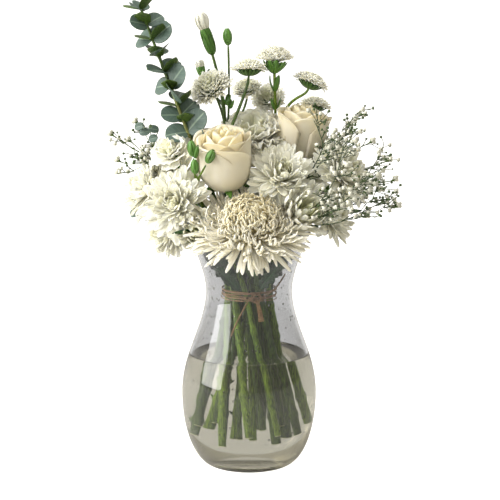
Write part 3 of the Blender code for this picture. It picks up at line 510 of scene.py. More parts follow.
def shade_values(params, each, ring, chance, foot=0.0):
    """Per-vertex (s along, ring share, chance, v across) for the petal materials; foot is the
    value of s that a petal starts at."""
    count = len(params) // each
    ring = np.broadcast_to(ring, (count,))
    chance = np.broadcast_to(chance, (count,))
    return np.column_stack((foot + (1 - foot) * params[:, 0], np.repeat(ring, each),
                            np.repeat(chance, each), params[:, 1] * 0.5 + 0.5))


def head_frame(node, lean, turn):
    """A head's axes and the middle that its petals grow from."""
    return axes(lean, turn), middle(node)


def on_head(verts, head):
    """Head coordinates turned by the head's axes and moved to its middle."""
    return verts @ head[0].T + head[1]


def make_sheets(name, grids, thickness, shares, material, slot, nodes=(), head=None, foot=0.0):
    """A piece of closed petals or leaves, on a head if one is given; shares are each sheet's
    ring share and chance."""
    verts, faces, params, each = closed_sheets(grids, thickness / MM)
    return make_piece(name, verts if head is None else on_head(verts, head), faces, material,
                      slot, nodes, shade_values(params, each, *shares, foot))


def spiral(count):
    """Each petal's share of the way out from the heart, and its golden-angle heading."""
    order = np.arange(count)
    return (order + 0.5) / count, order * GOLDEN


def keep_in_glass(verts, sizes, gap=1.2):
    """Draws vertices below the rim inwards to the glass's inside less a gap."""
    radius = np.hypot(verts[:, 0], verts[:, 1])
    room = outer_radius(np.minimum(verts[:, 2], VASE_HEIGHT / MM) * MM, sizes) / MM
    room = room - sizes.wall / MM - gap
    low = verts[:, 2] < VASE_HEIGHT / MM + 1
    share = np.where(low & (radius > room), room / np.maximum(radius, 1e-6), 1.0)
    return verts * np.column_stack((share, share, np.ones(len(verts))))


# ---- Materials ------------------------------------------------------------------------------

def add_node(tree, kind, sockets=None, **traits):
    """A node of a kind with its traits. Each socket takes a value, another node's socket, or
    a node, which stands for its first output in use."""
    node = tree.nodes.new(kind)
    for key, value in traits.items():
        setattr(node, key, value)
    for key, value in (sockets or {}).items():
        socket = node.inputs[key]
        if isinstance(value, bpy.types.Node):
            value = next(output for output in value.outputs if output.enabled)
        if isinstance(value, bpy.types.NodeSocket):
            tree.links.new(value, socket)
        elif socket.type == "RGBA":
            socket.default_value = (*value, 1)
        else:
            socket.default_value = value
    return node


def new_material(name, finish):
    """A material whose Principled shader has the finish, with its tree and that shader."""
    made = bpy.data.materials.new(name)
    made.use_nodes = True
    tree = made.node_tree
    tree.nodes.clear()
    shader = add_node(tree, "ShaderNodeBsdfPrincipled", finish)
    add_node(tree, "ShaderNodeOutputMaterial", {"Surface": shader})
    return made, tree, shader


def cached(name, make, *colours, **traits):
    """The material of that name, made by make the first time."""
    return bpy.data.materials.get(name) or make(name, *colours, **traits)


def tinted(colour, share):
    """A colour made darker or lighter by a share, up to white."""
    return tuple(min(1.0, share * part) for part in colour)


def petal_material(name, heart, body, tip, roughness=0.55, glow=0.5, ribs=9.0, deep=0.55):
    """A fresh petal: thin moist cells under a matt skin, so it is dull and lit from within.

    heart colours the flower's middle, out to the ring share deep, and the petal's foot; body
    comes outwards and tip at the end. ribs is how many run along it: real ones, about 0.2 mm
    apart, are too fine to show, so they are drawn two to four times as coarse.
    """
    made, tree, shader = new_material(name, {
        "Roughness": roughness, "Subsurface Weight": glow, "Sheen Weight": 0.08,
        "Subsurface Radius": (1.0, 0.87, 0.6), "Subsurface Scale": 6.0 * MM})
    shade = add_node(tree, "ShaderNodeAttribute", attribute_name="shade")
    parts = add_node(tree, "ShaderNodeSeparateColor", {"Color": shade.outputs["Color"]})
    along, ring, chance = (parts.outputs[key] for key in ("Red", "Green", "Blue"))
    out_share = add_node(tree, "ShaderNodeMapRange", {"Value": ring, "From Max": deep})
    foot_share = add_node(tree, "ShaderNodeMapRange", {"Value": along, "From Max": 0.3})
    tip_share = add_node(tree, "ShaderNodeMapRange", {"Value": along, "From Min": 0.7,
                                                      "To Max": 0.6})
    dark = add_node(tree, "ShaderNodeMath", {0: chance, 1: 1.5}, operation="MULTIPLY")
    rib = shade.outputs["Alpha"]
    for operation, other in (("MULTIPLY", ribs * TAU), ("SINE", 0.0), ("ADD", dark)):
        rib = add_node(tree, "ShaderNodeMath", {0: rib, 1: other}, operation=operation)
    groove = add_node(tree, "ShaderNodeMapRange", {"Value": rib, "From Min": -1.0,
                                                   "From Max": 2.5, "To Max": 0.07})
    base = add_node(tree, "ShaderNodeMix", {0: out_share, 6: heart, 7: body},
                    data_type="RGBA")
    foot = add_node(tree, "ShaderNodeMix", {0: foot_share, 6: heart, 7: base},
                    data_type="RGBA")
    ends = add_node(tree, "ShaderNodeMix", {0: tip_share, 6: foot, 7: tip}, data_type="RGBA")
    colour = add_node(tree, "ShaderNodeMix", {0: groove, 6: ends, 7: tinted(body, 0.72)},
                      data_type="RGBA")
    tree.links.new(colour.outputs[2], shader.inputs["Base Color"])
    return made


def leaf_material(name, body, vein, veins=7.0, slant=1.6, bloom=0.0, roughness=0.42,
                  strength=0.6):
    """A fresh leaf: a waxed skin with a soft gloss, a pale midrib and slanting side veins,
    mottled every 6 mm; veins is how many pairs it has, and bloom a whitish coat of wax."""
    made, tree, shader = new_material(name, {
        "Roughness": roughness, "Subsurface Weight": 0.06,
        "Subsurface Radius": (0.7, 1.0, 0.4), "Subsurface Scale": 1.0 * MM})
    shade = add_node(tree, "ShaderNodeAttribute", attribute_name="shade")
    parts = add_node(tree, "ShaderNodeSeparateColor", {"Color": shade.outputs["Color"]})
    off = shade.outputs["Alpha"]
    for operation, other in (("SUBTRACT", 0.5), ("ABSOLUTE", 0.0)):
        off = add_node(tree, "ShaderNodeMath", {0: off, 1: other}, operation=operation)
    midrib = add_node(tree, "ShaderNodeMapRange", {"Value": off, "From Min": 0.05,
                                                   "From Max": 0.015})
    back = add_node(tree, "ShaderNodeMath", {0: off, 1: slant * 2}, operation="MULTIPLY")
    wave = parts.outputs["Red"]
    for operation, other in (("MULTIPLY", veins), ("SUBTRACT", back), ("MULTIPLY", TAU),
                             ("SINE", 0.0)):
        wave = add_node(tree, "ShaderNodeMath", {0: wave, 1: other}, operation=operation)
    side = add_node(tree, "ShaderNodeMapRange", {"Value": wave, "From Min": 0.86,
                                                 "To Max": strength})
    spot = add_node(tree, "ShaderNodeTexCoord").outputs["Object"]
    mottle = add_node(tree, "ShaderNodeTexNoise", {"Vector": spot, "Scale": 1 / (6.25 * MM),
                                                   "Detail": 4.0})
    dark = add_node(tree, "ShaderNodeMapRange", {"Value": mottle, "From Min": 0.35,
                                                 "From Max": 0.7, "To Max": 0.55})
    pale = add_node(tree, "ShaderNodeMath", {0: parts.outputs["Blue"], 1: 0.35},
                    operation="MULTIPLY")
    coat = add_node(tree, "ShaderNodeMapRange", {"Value": mottle, "From Min": 0.2,
                                                 "From Max": 0.8, "To Max": bloom})
    ribs = add_node(tree, "ShaderNodeMath", {0: midrib, 1: side}, operation="MAXIMUM")
    colour = body
    for share, other in ((dark, tinted(body, 0.55)), (pale, tinted(body, 1.4)),
                         (coat, linear("ADBCB8")), (ribs, vein)):
        colour = add_node(tree, "ShaderNodeMix", {0: share, 6: colour, 7: other},
                          data_type="RGBA")
    tree.links.new(colour.outputs[2], shader.inputs["Base Color"])
    return made


def streaked_material(name, body, dark, scale=(260.0, 260.0, 26.0), roughness=0.5):
    """A fibrous skin, such as a stem's or raffia's: satin, with darker patches 25 mm across.

    Its streaks are four for each wave of scale: 1 mm wide and 10 mm long in Z as given here,
    and 0.8 mm both ways at a scale of 300.
    """
    made, tree, shader = new_material(name, {"Roughness": roughness})
    spot = add_node(tree, "ShaderNodeTexCoord").outputs["Object"]
    drawn = add_node(tree, "ShaderNodeMapping", {"Vector": spot, "Scale": scale})
    streak = add_node(tree, "ShaderNodeTexNoise", {"Vector": drawn, "Scale": 4.0,
                                                   "Detail": 5.0})
    patch = add_node(tree, "ShaderNodeTexNoise", {"Vector": spot, "Scale": 1 / (25 * MM),
                                                  "Detail": 2.0})
    light = add_node(tree, "ShaderNodeMapRange", {"Value": streak, "From Min": 0.36,
                                                  "From Max": 0.64})
    shaded = add_node(tree, "ShaderNodeMapRange", {"Value": patch, "From Min": 0.35,
                                                   "From Max": 0.75, "To Max": 0.55})
    streaks = add_node(tree, "ShaderNodeMix", {0: light, 6: dark, 7: body}, data_type="RGBA")
    colour = add_node(tree, "ShaderNodeMix", {0: shaded, 6: streaks, 7: dark},
                      data_type="RGBA")
    tree.links.new(colour.outputs[2], shader.inputs["Base Color"])
    return made


def plain_material(name, colour, roughness=0.5, glow=0.0):
    """A tiny floret, bud or cut end: matt, and mottled every 2 mm."""
    made, tree, shader = new_material(name, {
        "Roughness": roughness, "Subsurface Weight": glow,
        "Subsurface Radius": (1.0, 0.95, 0.85), "Subsurface Scale": 1.5 * MM})
    spot = add_node(tree, "ShaderNodeTexCoord").outputs["Object"]
    mottle = add_node(tree, "ShaderNodeTexNoise", {"Vector": spot, "Scale": 1 / (2 * MM),
                                                   "Detail": 3.0})
    share = add_node(tree, "ShaderNodeMapRange", {"Value": mottle, "From Min": 0.35,
                                                  "From Max": 0.7, "To Max": 0.5})
    mixed = add_node(tree, "ShaderNodeMix", {0: share, 6: colour, 7: tinted(colour, 0.68)},
                     data_type="RGBA")
    tree.links.new(mixed.outputs[2], shader.inputs["Base Color"])
    return made


def clear_material(name, tint, index):
    """Smooth clear glass, water or air: it bends and reflects what is seen, and lets light's
    shadow rays straight through."""
    made, tree, shader = new_material(name, {
        "Base Color": tint, "Transmission Weight": 1.0, "Roughness": 0.0, "IOR": index})
    path = add_node(tree, "ShaderNodeLightPath")
    through = add_node(tree, "ShaderNodeBsdfTransparent", {
        "Color": tuple(part ** 0.5 for part in tint)})
    mixed = add_node(tree, "ShaderNodeMixShader", {
        0: path.outputs["Is Shadow Ray"], 1: shader, 2: through})
    tree.links.new(mixed.outputs["Shader"], tree.get_output_node("ALL").inputs["Surface"])
    return made


def bract_green():
    """Bracts and sepals: green, soft and matt, with faint veins."""
    green = settings()[1].sepal_green
    return cached("green_bract", leaf_material, green, tinted(green, 1.6))


def calyx_green():
    """A carnation's calyx: smooth firm green skin, its veins too fine to show."""
    green = settings()[1].sepal_green
    return cached("smooth_calyx", leaf_material, green, tinted(green, 1.5), veins=0.4)


def scale_green():
    """A bud's scales: the calyx's green with a little more gloss."""
    green = settings()[1].sepal_green
    return cached("bud_scale", leaf_material, green, tinted(green, 1.7), veins=0.4,
                  roughness=0.35)


def mum_leaf_green():
    """A chrysanthemum's leaf: dark green, with few and pale veins."""
    green = settings()[1].leaf_green
    return cached("chrysanthemum_leaf", leaf_material, green, tinted(green, 2.0), veins=4.5,
                  slant=1.1)


def woody_bark():
    """The green bark of a rose's stem: streaked, with dark patches."""
    return cached("woody_stem", streaked_material, settings()[1].woody_green,
                  linear("233515"))


def settings():
    """The scene's sizes and colours."""
    scene = bpy.context.scene
    return scene.bouquet_sizes, scene.bouquet_colours


# ---- Glass and water ------------------------------------------------------------------------

def outer_radius(z, sizes):
    """The vase's outside: a quarter ellipse up to the belly, half a cosine wave in to the
    neck, and a flare as the height above it to the power 1.5."""
    belly, neck = sizes.belly_height, sizes.neck_height
    z = np.asarray(z, float)
    rise = 1 - np.clip(z / belly, 0, 1)
    bowl = sizes.base_radius + (BELLY_RADIUS - sizes.base_radius) * np.sqrt(1 - rise ** 2)
    t = np.clip((z - belly) / (neck - belly), 0, 1) ** 1.06
    swell = 0.5 + 0.5 * np.cos(math.pi * t)
    waist = sizes.neck_radius + (BELLY_RADIUS - sizes.neck_radius) * swell
    t = np.clip((z - neck) / (VASE_HEIGHT - neck), 0, 1)
    flare = sizes.neck_radius + (sizes.rim_radius - sizes.neck_radius) * t ** 1.5
    return np.where(z <= belly, bowl, np.where(z <= neck, waist, flare))


def inner_radius(z, sizes):
    """The vase's inside: a wall in from the outside, with a heavier round bottom."""
    z = np.asarray(z, float)
    belly, floor = sizes.belly_height, sizes.glass_floor
    rise = np.clip(1 - (z - floor) / (belly - floor), 0, 1)
    floor_radius = sizes.base_radius - HEEL
    bowl = floor_radius + (BELLY_RADIUS - sizes.wall - floor_radius) * np.sqrt(1 - rise ** 2)
    return np.where(z >= belly, outer_radius(z, sizes) - sizes.wall, bowl)


class BOUQUET_OT_vase(bpy.types.Operator):
    """The clear glass vase, with seeds in its wall and drops on it."""

    bl_idname = "bouquet.vase"
    bl_label = "Glass Vase"

    def execute(self, context):
        """Turns the wall's outside, round rim and inside, with a slight punt underneath."""
        sizes, colours = settings()
        belly, base, floor = sizes.belly_height, sizes.base_radius, sizes.glass_floor
        half = sizes.wall / 2
        bowl = np.linspace(0, 1, 26)[1:] ** 2
        above = np.linspace(belly, VASE_HEIGHT - half, 74)[1:]
        outside = np.concatenate((belly * bowl, above))
        inside = np.concatenate((floor + (belly - floor) * bowl, above))[::-1]
        t = np.linspace(0, math.pi, 9)[1:-1]
        crown = np.column_stack((sizes.rim_radius - half + half * np.cos(t),
                                 VASE_HEIGHT - half + half * np.sin(t)))
        share = np.linspace(0, 1, 9)
        under = np.column_stack((base * 0.9 * share, PUNT * (1 - share ** 2) ** 1.5))
        foot = [(base * 0.94, 0.0), (base * 0.985, 0.25 * MM)]
        top_floor = np.column_stack(((base - HEEL) * share[::-1], np.full(9, floor)))
        profile = np.vstack((under, foot,
                             np.column_stack((outer_radius(outside, sizes), outside)), crown,
                             np.column_stack((inner_radius(inside, sizes), inside)),
                             top_floor))
        # Recycled soda-lime glass, blown in a mould: smooth and clear; its grey tint is partly
        # the glass's own faint grey and partly painted shade that greys the white seen through
        # it.
        glass = clear_material("soda_glass", colours.glass_tint_and_shade, GLASS_INDEX)
        verts, faces = turned(profile / MM, VASE_SIDES)
        make_piece("vase_glass", verts, faces, glass, "glass", ["vase"])
        self.add_seeds(sizes)
        self.add_drops(sizes)
        return {"FINISHED"}

    @staticmethod
    def add_seeds(sizes):
        """Small air bubbles in the middle of the wall, longer upwards than across."""
        draw = np.random.default_rng(11)
        z = draw.uniform(12, 244, SEEDS)
        turn = draw.uniform(0, TAU, SEEDS)
        radius = (outer_radius(z * MM, sizes) - sizes.wall / 2) / MM
        centres = np.column_stack((radius * np.cos(turn), radius * np.sin(turn), z))
        size = sizes.seed_radius / MM * draw.uniform(0.25, 1, SEEDS) ** 1.7
        verts, faces = balls(np.zeros((SEEDS, 3)), size, 5, 8)
        verts = verts * (1, 1, 1.35) + np.repeat(centres, 5 * 8, axis=0)
        air = clear_material("air_seed", WHITE, AIR_IN_GLASS)
        make_piece("glass_seeds", verts, faces, air, "glass")

    @staticmethod
    def add_drops(sizes):
        """Flat water drops that cling to the wall's inside above the water."""
        draw = np.random.default_rng(13)
        z = draw.uniform(WATER_LEVEL / MM + 6, 236, DROPS)
        turn = draw.uniform(0, TAU, DROPS)
        radius = inner_radius(z * MM, sizes) / MM - 0.15
        centres = np.column_stack((radius * np.cos(turn), radius * np.sin(turn), z))
        size = draw.uniform(0.5, 1.5, DROPS)
        verts, faces = balls(np.zeros((DROPS, 3)), size, 6, 10)
        out = np.column_stack((np.cos(turn), np.sin(turn), 0 * turn))
        out, centres = (np.repeat(rows, 6 * 10, axis=0) for rows in (out, centres))
        verts = verts - 0.55 * out * (verts * out).sum(axis=1)[:, None]
        # Clear water; its grey tint is painted shade, standing for the dark edge that so small
        #         # a lens shows.
        drops = clear_material("water_drop", linear("CECECB"), WATER_INDEX)
        make_piece("water_drops", verts + centres, faces, drops, "water")


class BOUQUET_OT_water(bpy.types.Operator):
    """The water in the vase."""

    bl_idname = "bouquet.water"
    bl_label = "Water"

    def execute(self, context):
        """Turns a body that reaches half way into the wall, with a meniscus at its top."""
        sizes, colours = settings()
        into = 0.5 * sizes.wall
        floor = sizes.glass_floor - 1.0 * MM
        level = WATER_LEVEL - SURFACE_DROP
        t = np.linspace(0, 1, 44)[1:]
        heights = floor + (level - floor) * t ** 1.4
        side = np.column_stack((inner_radius(heights, sizes) + into, heights))
        edge = inner_radius(WATER_LEVEL, sizes)
        away = np.array((0.0, 0.4, 0.9, 1.6, 2.6, 4.0, 6.0)) * MM
        climb = 1.9 * MM * np.exp(-away / (1.3 * MM))
        top = np.column_stack((edge - away, level + climb))
        flat = np.column_stack((np.linspace(edge - 8 * MM, 4 * MM, 10), np.full(10, level)))
        profile = np.vstack(([(0, floor), (sizes.base_radius * 0.5, floor)], side,
                             [(edge + into, WATER_LEVEL + 1.4 * MM)], top, flat,
                             [(0, level)]))
        # Tap water that flowers have stood in: clear, faintly beige.
        water = clear_material("vase_water", colours.water_tint, WATER_INDEX)
        verts, faces = turned(profile / MM, VASE_SIDES)
        make_piece("vase_water", verts, faces, water, "water", ["water"])
        return {"FINISHED"}


# ---- Chrysanthemums -------------------------------------------------------------------------

class BOUQUET_OT_disbud(bpy.types.Operator):
    """The large incurved chrysanthemum."""

    bl_idname = "bouquet.disbud"
    bl_label = "Large Chrysanthemum"

    def execute(self, context):
        """Rays at golden-angle headings over a domed base: hooked at the heart, drooping
        outside, round a core ball that closes the heart."""
        sizes, colours = settings()
        petal = petal_material("ivory_chrysanthemum_ray", colours.heart_yellow,
                               colours.ivory_petal, colours.ivory_petal)
        for node, (lean, turn, radius) in DISBUD.items():
            draw = np.random.default_rng(3)
            count = sizes.disbud_rays
            t, headings = spiral(count)
            angle = np.arccos(1 - 1.28 * t)
            dome, sink = 0.30 * radius, 0.10 * radius
            skirt = np.clip((t - 0.56) / 0.32, 0, 1)
            inner = 1 - skirt
            reach = radius * (0.51 + 0.54 * skirt)
            length = (reach - dome) * draw.uniform(0.88, 1.08, count) * (1.0 + 0.75 * inner)
            bend = (-2.5 * inner ** 0.6 * draw.uniform(0.55, 1.4, count)
                    + skirt * draw.uniform(-0.6, 0.4, count))
            grids = strap_grids(
                count, 12, 4, dome * np.sin(angle), dome * np.cos(angle) - sink,
                headings + draw.normal(0, 0.12, count),
                angle * (1.0 + 0.08 * inner) + 0.42 * inner + draw.normal(0, 0.09, count), bend,
                length, (3.1 + 2.4 * skirt) * draw.uniform(0.8, 1.25, count),
                (0.5, 0.66, 0.14), cup=0.85, hook=0.5 * inner,
                sway=draw.normal(0, 4.5, count), late=1.8)
            grids = grids * (1, 1, 0.84)
            verts, faces, params, each = closed_sheets(grids, sizes.petal_thickness / MM)
            shades = shade_values(params, each, t, draw.random(count))
            core = balls([(0, 0, -sink)], [0.34 * radius], 12, 24)
            verts, faces = join([(verts, faces), core])
            shades = np.vstack((shades, np.tile((0.2, 0.1, 0.5, 0.5), (len(core[0]), 1))))
            head = head_frame(node, lean, turn)
            make_piece("disbud_rays", on_head(verts, head), faces, petal,
                       "chrysanthemum_petal", [node], shades)
            cap_under(node, head, dome, 0.34 * radius)
        return {"FINISHED"}


def cap_under(node, head, radius, depth):
    """The green underside of a head: bracts that wrap its base, behind the petals."""
    draw = np.random.default_rng(len(node))
    layer = np.arange(UNDER_BRACTS) % 2
    grids = strap_grids(UNDER_BRACTS, 7, 5, 1.6, -depth - 1.5, spiral(UNDER_BRACTS)[1],
                        1.75 - 0.1 * layer, -0.95 - 0.25 * layer, radius * 1.1,
                        radius * 0.42, (0.5, 0.5, 0.15), cup=0.3,
                        sway=draw.normal(0, 0.3, UNDER_BRACTS))
    make_sheets(node + "_bracts", grids, settings()[0].leaf_thickness,
                (draw.random(UNDER_BRACTS), draw.random(UNDER_BRACTS)), bract_green(),
                "bud_sepal", head=head)


class BOUQUET_OT_spray_mums(bpy.types.Operator):
    """The white spray chrysanthemums, open and half open."""

    bl_idname = "bouquet.spray_mums"
    bl_label = "Spray Chrysanthemums"

    def execute(self, context):
        """Pointed rays in golden-angle order from upright to flat, round a tufted eye."""
        sizes, colours = settings()
        white = petal_material("white_chrysanthemum_ray", linear("EFEDC5"),
                               colours.white_petal, colours.white_petal, deep=0.25)
        eye = petal_material("yellow_green_eye", colours.eye_green, linear("E1E29B"),
                             linear("EFEFBC"), glow=0.05)
        pale = petal_material("half_open_ray", linear("E5E7AA"),
                              tinted(colours.white_petal, 0.97), colours.white_petal,
                              deep=0.4)
        for order, (node, (lean, turn, radius)) in enumerate(SPRAY_MUMS.items()):
            head = head_frame(node, lean, turn)
            self.open_flower(order, node, head, radius, white, eye, sizes)
            cap_under(node, head, 0.26 * radius, 0.30 * radius)
        for order, (node, (lean, turn, radius)) in enumerate(OPENING_MUMS.items()):
            head = head_frame(node, lean, turn)
            self.closed_flower(order, node, head, radius, pale, sizes)
            cap_under(node, head, 0.5 * radius, 0.62 * radius)
        return {"FINISHED"}

    @staticmethod
    def open_flower(order, node, head, radius, white, eye, sizes):
        """One open flower."""
        draw = np.random.default_rng(20 + order)
        count = sizes.spray_rays
        t, headings = spiral(count)
        lean = 0.15 + 1.5 * t ** 0.8 + draw.normal(0, 0.10, count)
        length = radius * (0.55 + 0.5 * t ** 0.6) * draw.uniform(0.82, 1.1, count)
        grids = strap_grids(
            count, 10, 7, radius * (0.07 + 0.06 * t), radius * (-0.16 - 0.1 * t),
            headings + draw.normal(0, 0.1, count), lean,
            draw.normal(0.0, 0.3, count) - 0.7 * (1 - t) ** 2, length,
            radius * (0.21 + 0.10 * t) * draw.uniform(0.8, 1.25, count),
            (0.4, 0.62, 0.1), cup=0.45,
            hook=draw.uniform(-0.3, 0.5, count), sway=draw.normal(0, 0.05 * radius, count),
            ripple=draw.normal(0, 0.02 * radius, count), waves=1.0)
        make_sheets(node + "_rays", grids, sizes.petal_thickness, (t, draw.random(count)),
                    white, "chrysanthemum_petal", [node], head)
        t, headings = spiral(TUFTS)
        grids = strap_grids(
            TUFTS, 5, 3, radius * 0.15 * np.sqrt(t), radius * (-0.02 - 0.06 * t), headings,
            0.5 * t, -0.9 * t, radius * draw.uniform(0.13, 0.2, TUFTS), radius * 0.05,
            (0.7, 0.6, 0.5), cup=0.9)
        make_sheets(node + "_eye", grids, sizes.petal_thickness, (t, draw.random(TUFTS)), eye,
                    "chrysanthemum_petal", head=head)

    @staticmethod
    def closed_flower(order, node, head, radius, pale, sizes):
        """One half-open flower, its rays curving in over the heart."""
        draw = np.random.default_rng(60 + order)
        count = HALF_OPEN_RAYS
        t, headings = spiral(count)
        grids = strap_grids(
            count, 10, 7, radius * (0.1 + 0.3 * t), radius * (-0.62 + 0.1 * (1 - t)),
            headings, 0.25 + 1.0 * t + draw.normal(0, 0.07, count),
            -0.6 - 0.45 * t + draw.normal(0, 0.2, count),
            radius * (1.25 + 0.45 * t) * draw.uniform(0.85, 1.08, count),
            radius * (0.30 + 0.2 * t), (0.5, 0.62, 0.2), cup=0.6, late=1.2)
        make_sheets(node + "_rays", grids, sizes.petal_thickness, (t, draw.random(count)),
                    pale, "chrysanthemum_petal", [node], head)


class BOUQUET_OT_buttons(bpy.types.Operator):
    """The small domed button flowers on their green cups."""

    bl_idname = "bouquet.buttons"
    bl_label = "Button Flowers"

    def execute(self, context):
        """Short florets packed over a dome, a ring of longer ones and a cup of bracts."""
        sizes, colours = settings()
        cream = petal_material("button_floret", linear("E7E7BC"), colours.button_cream,
                               colours.button_cream, deep=0.5)
        green = leaf_material("dark_involucre", linear("3A5B25"), linear("6B8A45"))
        for order, (node, (lean, turn, radius)) in enumerate(BUTTONS.items()):
            draw = np.random.default_rng(80 + order)
            head = head_frame(node, lean, turn)
            count = FLORETS
            t, headings = spiral(count)
            grids = strap_grids(
                count, 6, 4, radius * 0.66 * np.sqrt(t), radius * (0.10 - 0.30 * t), headings,
                1.5 * t ** 1.1 + draw.normal(0, 0.10, count), draw.normal(0.15, 0.3, count),
                radius * (0.32 + 0.14 * t) * draw.uniform(0.8, 1.15, count),
                radius * 0.19, (0.6, 0.6, 0.3), cup=0.6)
            make_sheets(node + "_florets", grids, sizes.petal_thickness,
                        (t, draw.random(count)), cream, "chrysanthemum_petal", [node], head)
            layer = np.arange(CUP_BRACTS) % 2
            grids = strap_grids(
                CUP_BRACTS, 8, 5, 1.4, -0.52 * radius, spiral(CUP_BRACTS)[1],
                1.45 - 0.25 * layer, -0.8 + 0.2 * layer, radius * (0.72 - 0.1 * layer),
                radius * 0.24, (0.45, 0.55, 0.15), cup=0.4,
                sway=draw.normal(0, 0.5, CUP_BRACTS), late=1.2)
            make_sheets(node + "_cup", grids, sizes.petal_thickness,
                        (draw.random(CUP_BRACTS), draw.random(CUP_BRACTS)), green,
                        "bud_sepal", head=head)
        return {"FINISHED"}


# ---- Carnations, roses and buds -------------------------------------------------------------

class BOUQUET_OT_carnations(bpy.types.Operator):
    """The ruffled white carnations."""

    bl_idname = "bouquet.carnations"
    bl_label = "Carnations"

    def execute(self, context):
        """Fans that wave across and are notched at the edge, from upright to flat."""
        sizes, colours = settings()
        frill = petal_material("carnation_frill", linear("ECEBC8"), colours.carnation_white,
                               colours.carnation_white, deep=0.3, ribs=14.0)
        for order, (node, traits) in enumerate(CARNATIONS.items()):
            lean, turn, radius, count, wave, bracts = traits
            draw = np.random.default_rng(100 + order)
            head = head_frame(node, lean, turn)
            t, headings = spiral(count)
            start = -0.55 * radius
            grids = strap_grids(
                count, 14, 25, radius * 0.05 * t, start,
                headings + draw.normal(0, 0.15, count),
                0.12 + 0.95 * t + draw.normal(0, 0.07, count),
                0.15 + 0.55 * t + draw.normal(0, 0.14, count),
                radius * (1.0 + 0.12 * t) * draw.uniform(0.9, 1.04, count),
                radius * (0.75 + 0.2 * t), (0.1, 0.93, 0.75),
                cup=0.25, ripple=radius * wave * draw.uniform(0.7, 1.3, count),
                waves=draw.uniform(1.6, 2.8, count), teeth=radius * 0.6 * wave,
                phase=draw.uniform(0, TAU, count), late=1.2)
            make_sheets(node + "_frills", grids, sizes.petal_thickness,
                        (t, draw.random(count)), frill, "carnation_petal", [node], head)
            length = max(0.75 * radius, 15.0)
            add_calyx(node, head, start + 0.28 * radius, length, 0.17 * radius + 1.6)
            if bracts:
                grids = strap_grids(
                    bracts, 12, 7, 1.5, start - 0.62 * radius, spiral(bracts)[1],
                    0.95, -0.75 * draw.uniform(0.6, 1.2, bracts), 0.95 * radius, 0.5 * radius,
                    (0.5, 0.4, 0.05), cup=0.5)
                make_sheets(node + "_bracts", grids, sizes.leaf_thickness,
                            (0.5, draw.random(bracts) * 0.6), calyx_green(), "bud_sepal",
                            head=head)
        return {"FINISHED"}


def add_calyx(node, head, top, length, radius):
    """A green tube that narrows to the stem and ends in five points at the petals."""
    rows, sides = 18, 40
    s = np.linspace(0, 1, rows)
    turns = np.arange(sides) * TAU / sides
    tooth = np.abs((turns * 5 / TAU) % 1 - 0.5) * 2
    body = radius * np.where(s < 0.75, 0.35 + 0.65 * np.sqrt(np.sin(s / 0.75 * math.pi / 2)),
                             1.0 + 0.12 * (s - 0.75))
    rise = top - length + length * s[:, None] * (1 - 0.16 * (1 - tooth) * s[:, None] ** 3)
    ring = np.stack((body[:, None] * np.cos(turns), body[:, None] * np.sin(turns), rise),
                    axis=-1)
    thin = ring[::-1] * (0.82, 0.82, 1) + (0, 0, 0.4)
    thin[-1] *= (0.2, 0.2, 1)
    verts, faces = closed_tubes(np.concatenate((ring, thin))[None])
    shades = np.column_stack((np.tile(np.repeat(s, sides), 2), np.zeros(len(verts)),
                              np.full(len(verts), 0.4), np.tile(tooth * 0.5, 2 * rows)))
    make_piece(node + "_calyx", on_head(verts, head), faces, calyx_green(), "bud_sepal", (),
               shades)


def rose_grids(radius, draw, count=24, rows=20, columns=15):
    """Rose petals as sectors of nested eggs, as an array (count, rows, columns, 3).

    A petal's radius follows a half ellipse from its foot to two thirds of the height and
    then closes in; its top edge is rounded, one side is tucked under, and the outer petals'
    tops roll outwards on a small circle.
    """
    t = np.linspace(0, 1, count)
    s = np.linspace(0, 1, rows)[None, :, None]
    u = np.linspace(-1, 1, columns)[None, None, :]
    grow = (radius * (0.10 + 0.90 * t ** 0.8))[:, None, None]
    turn = (np.arange(count) * GOLDEN + draw.normal(0, 0.1, count))[:, None, None]
    wide = (1.25 - 0.1 * t)[:, None, None]
    foot = -1.30 * radius
    top = (radius * (1.04 - 0.30 * t ** 1.3) * draw.uniform(0.92, 1.06, count))[:, None, None]
    lip = np.clip(s - 0.30 * np.abs(u) ** 2.5 * s ** 2, 0, 1)
    height = foot + (top - foot) * lip
    belly = np.sqrt(np.clip(1 - (1 - np.minimum(lip / 0.55, 1)) ** 2.0, 0, 1))
    close = 1 - (0.18 - 0.20 * t[:, None, None]) * np.clip((lip - 0.55) / 0.45, 0, 1) ** 2
    out = grow * (0.10 + 0.90 * belly) * close + 0.06 * radius * u * (0.3 + 0.7 * s)
    roll = (np.clip((t - 0.45) / 0.3, 0, 1) * draw.uniform(0.25, 1.0, count))[:, None, None]
    psi = np.clip((s - 0.86) / 0.14, 0, 1) * 2.6 * roll * (1 - 0.5 * u ** 2)
    size = 0.10 * radius
    out = out + size * (1 - np.cos(psi))
    height = height - size * (psi - np.sin(psi)) * 0.9
    out = out + 0.012 * radius * np.sin(3 * u + 7 * t[:, None, None]) * s ** 3
    heading = turn + u * wide * (0.55 + 0.45 * belly)
    grids = np.stack((out * np.cos(heading), out * np.sin(heading),
                      np.broadcast_to(height, heading.shape)), axis=-1)
    return grids[:, :, ::-1], t


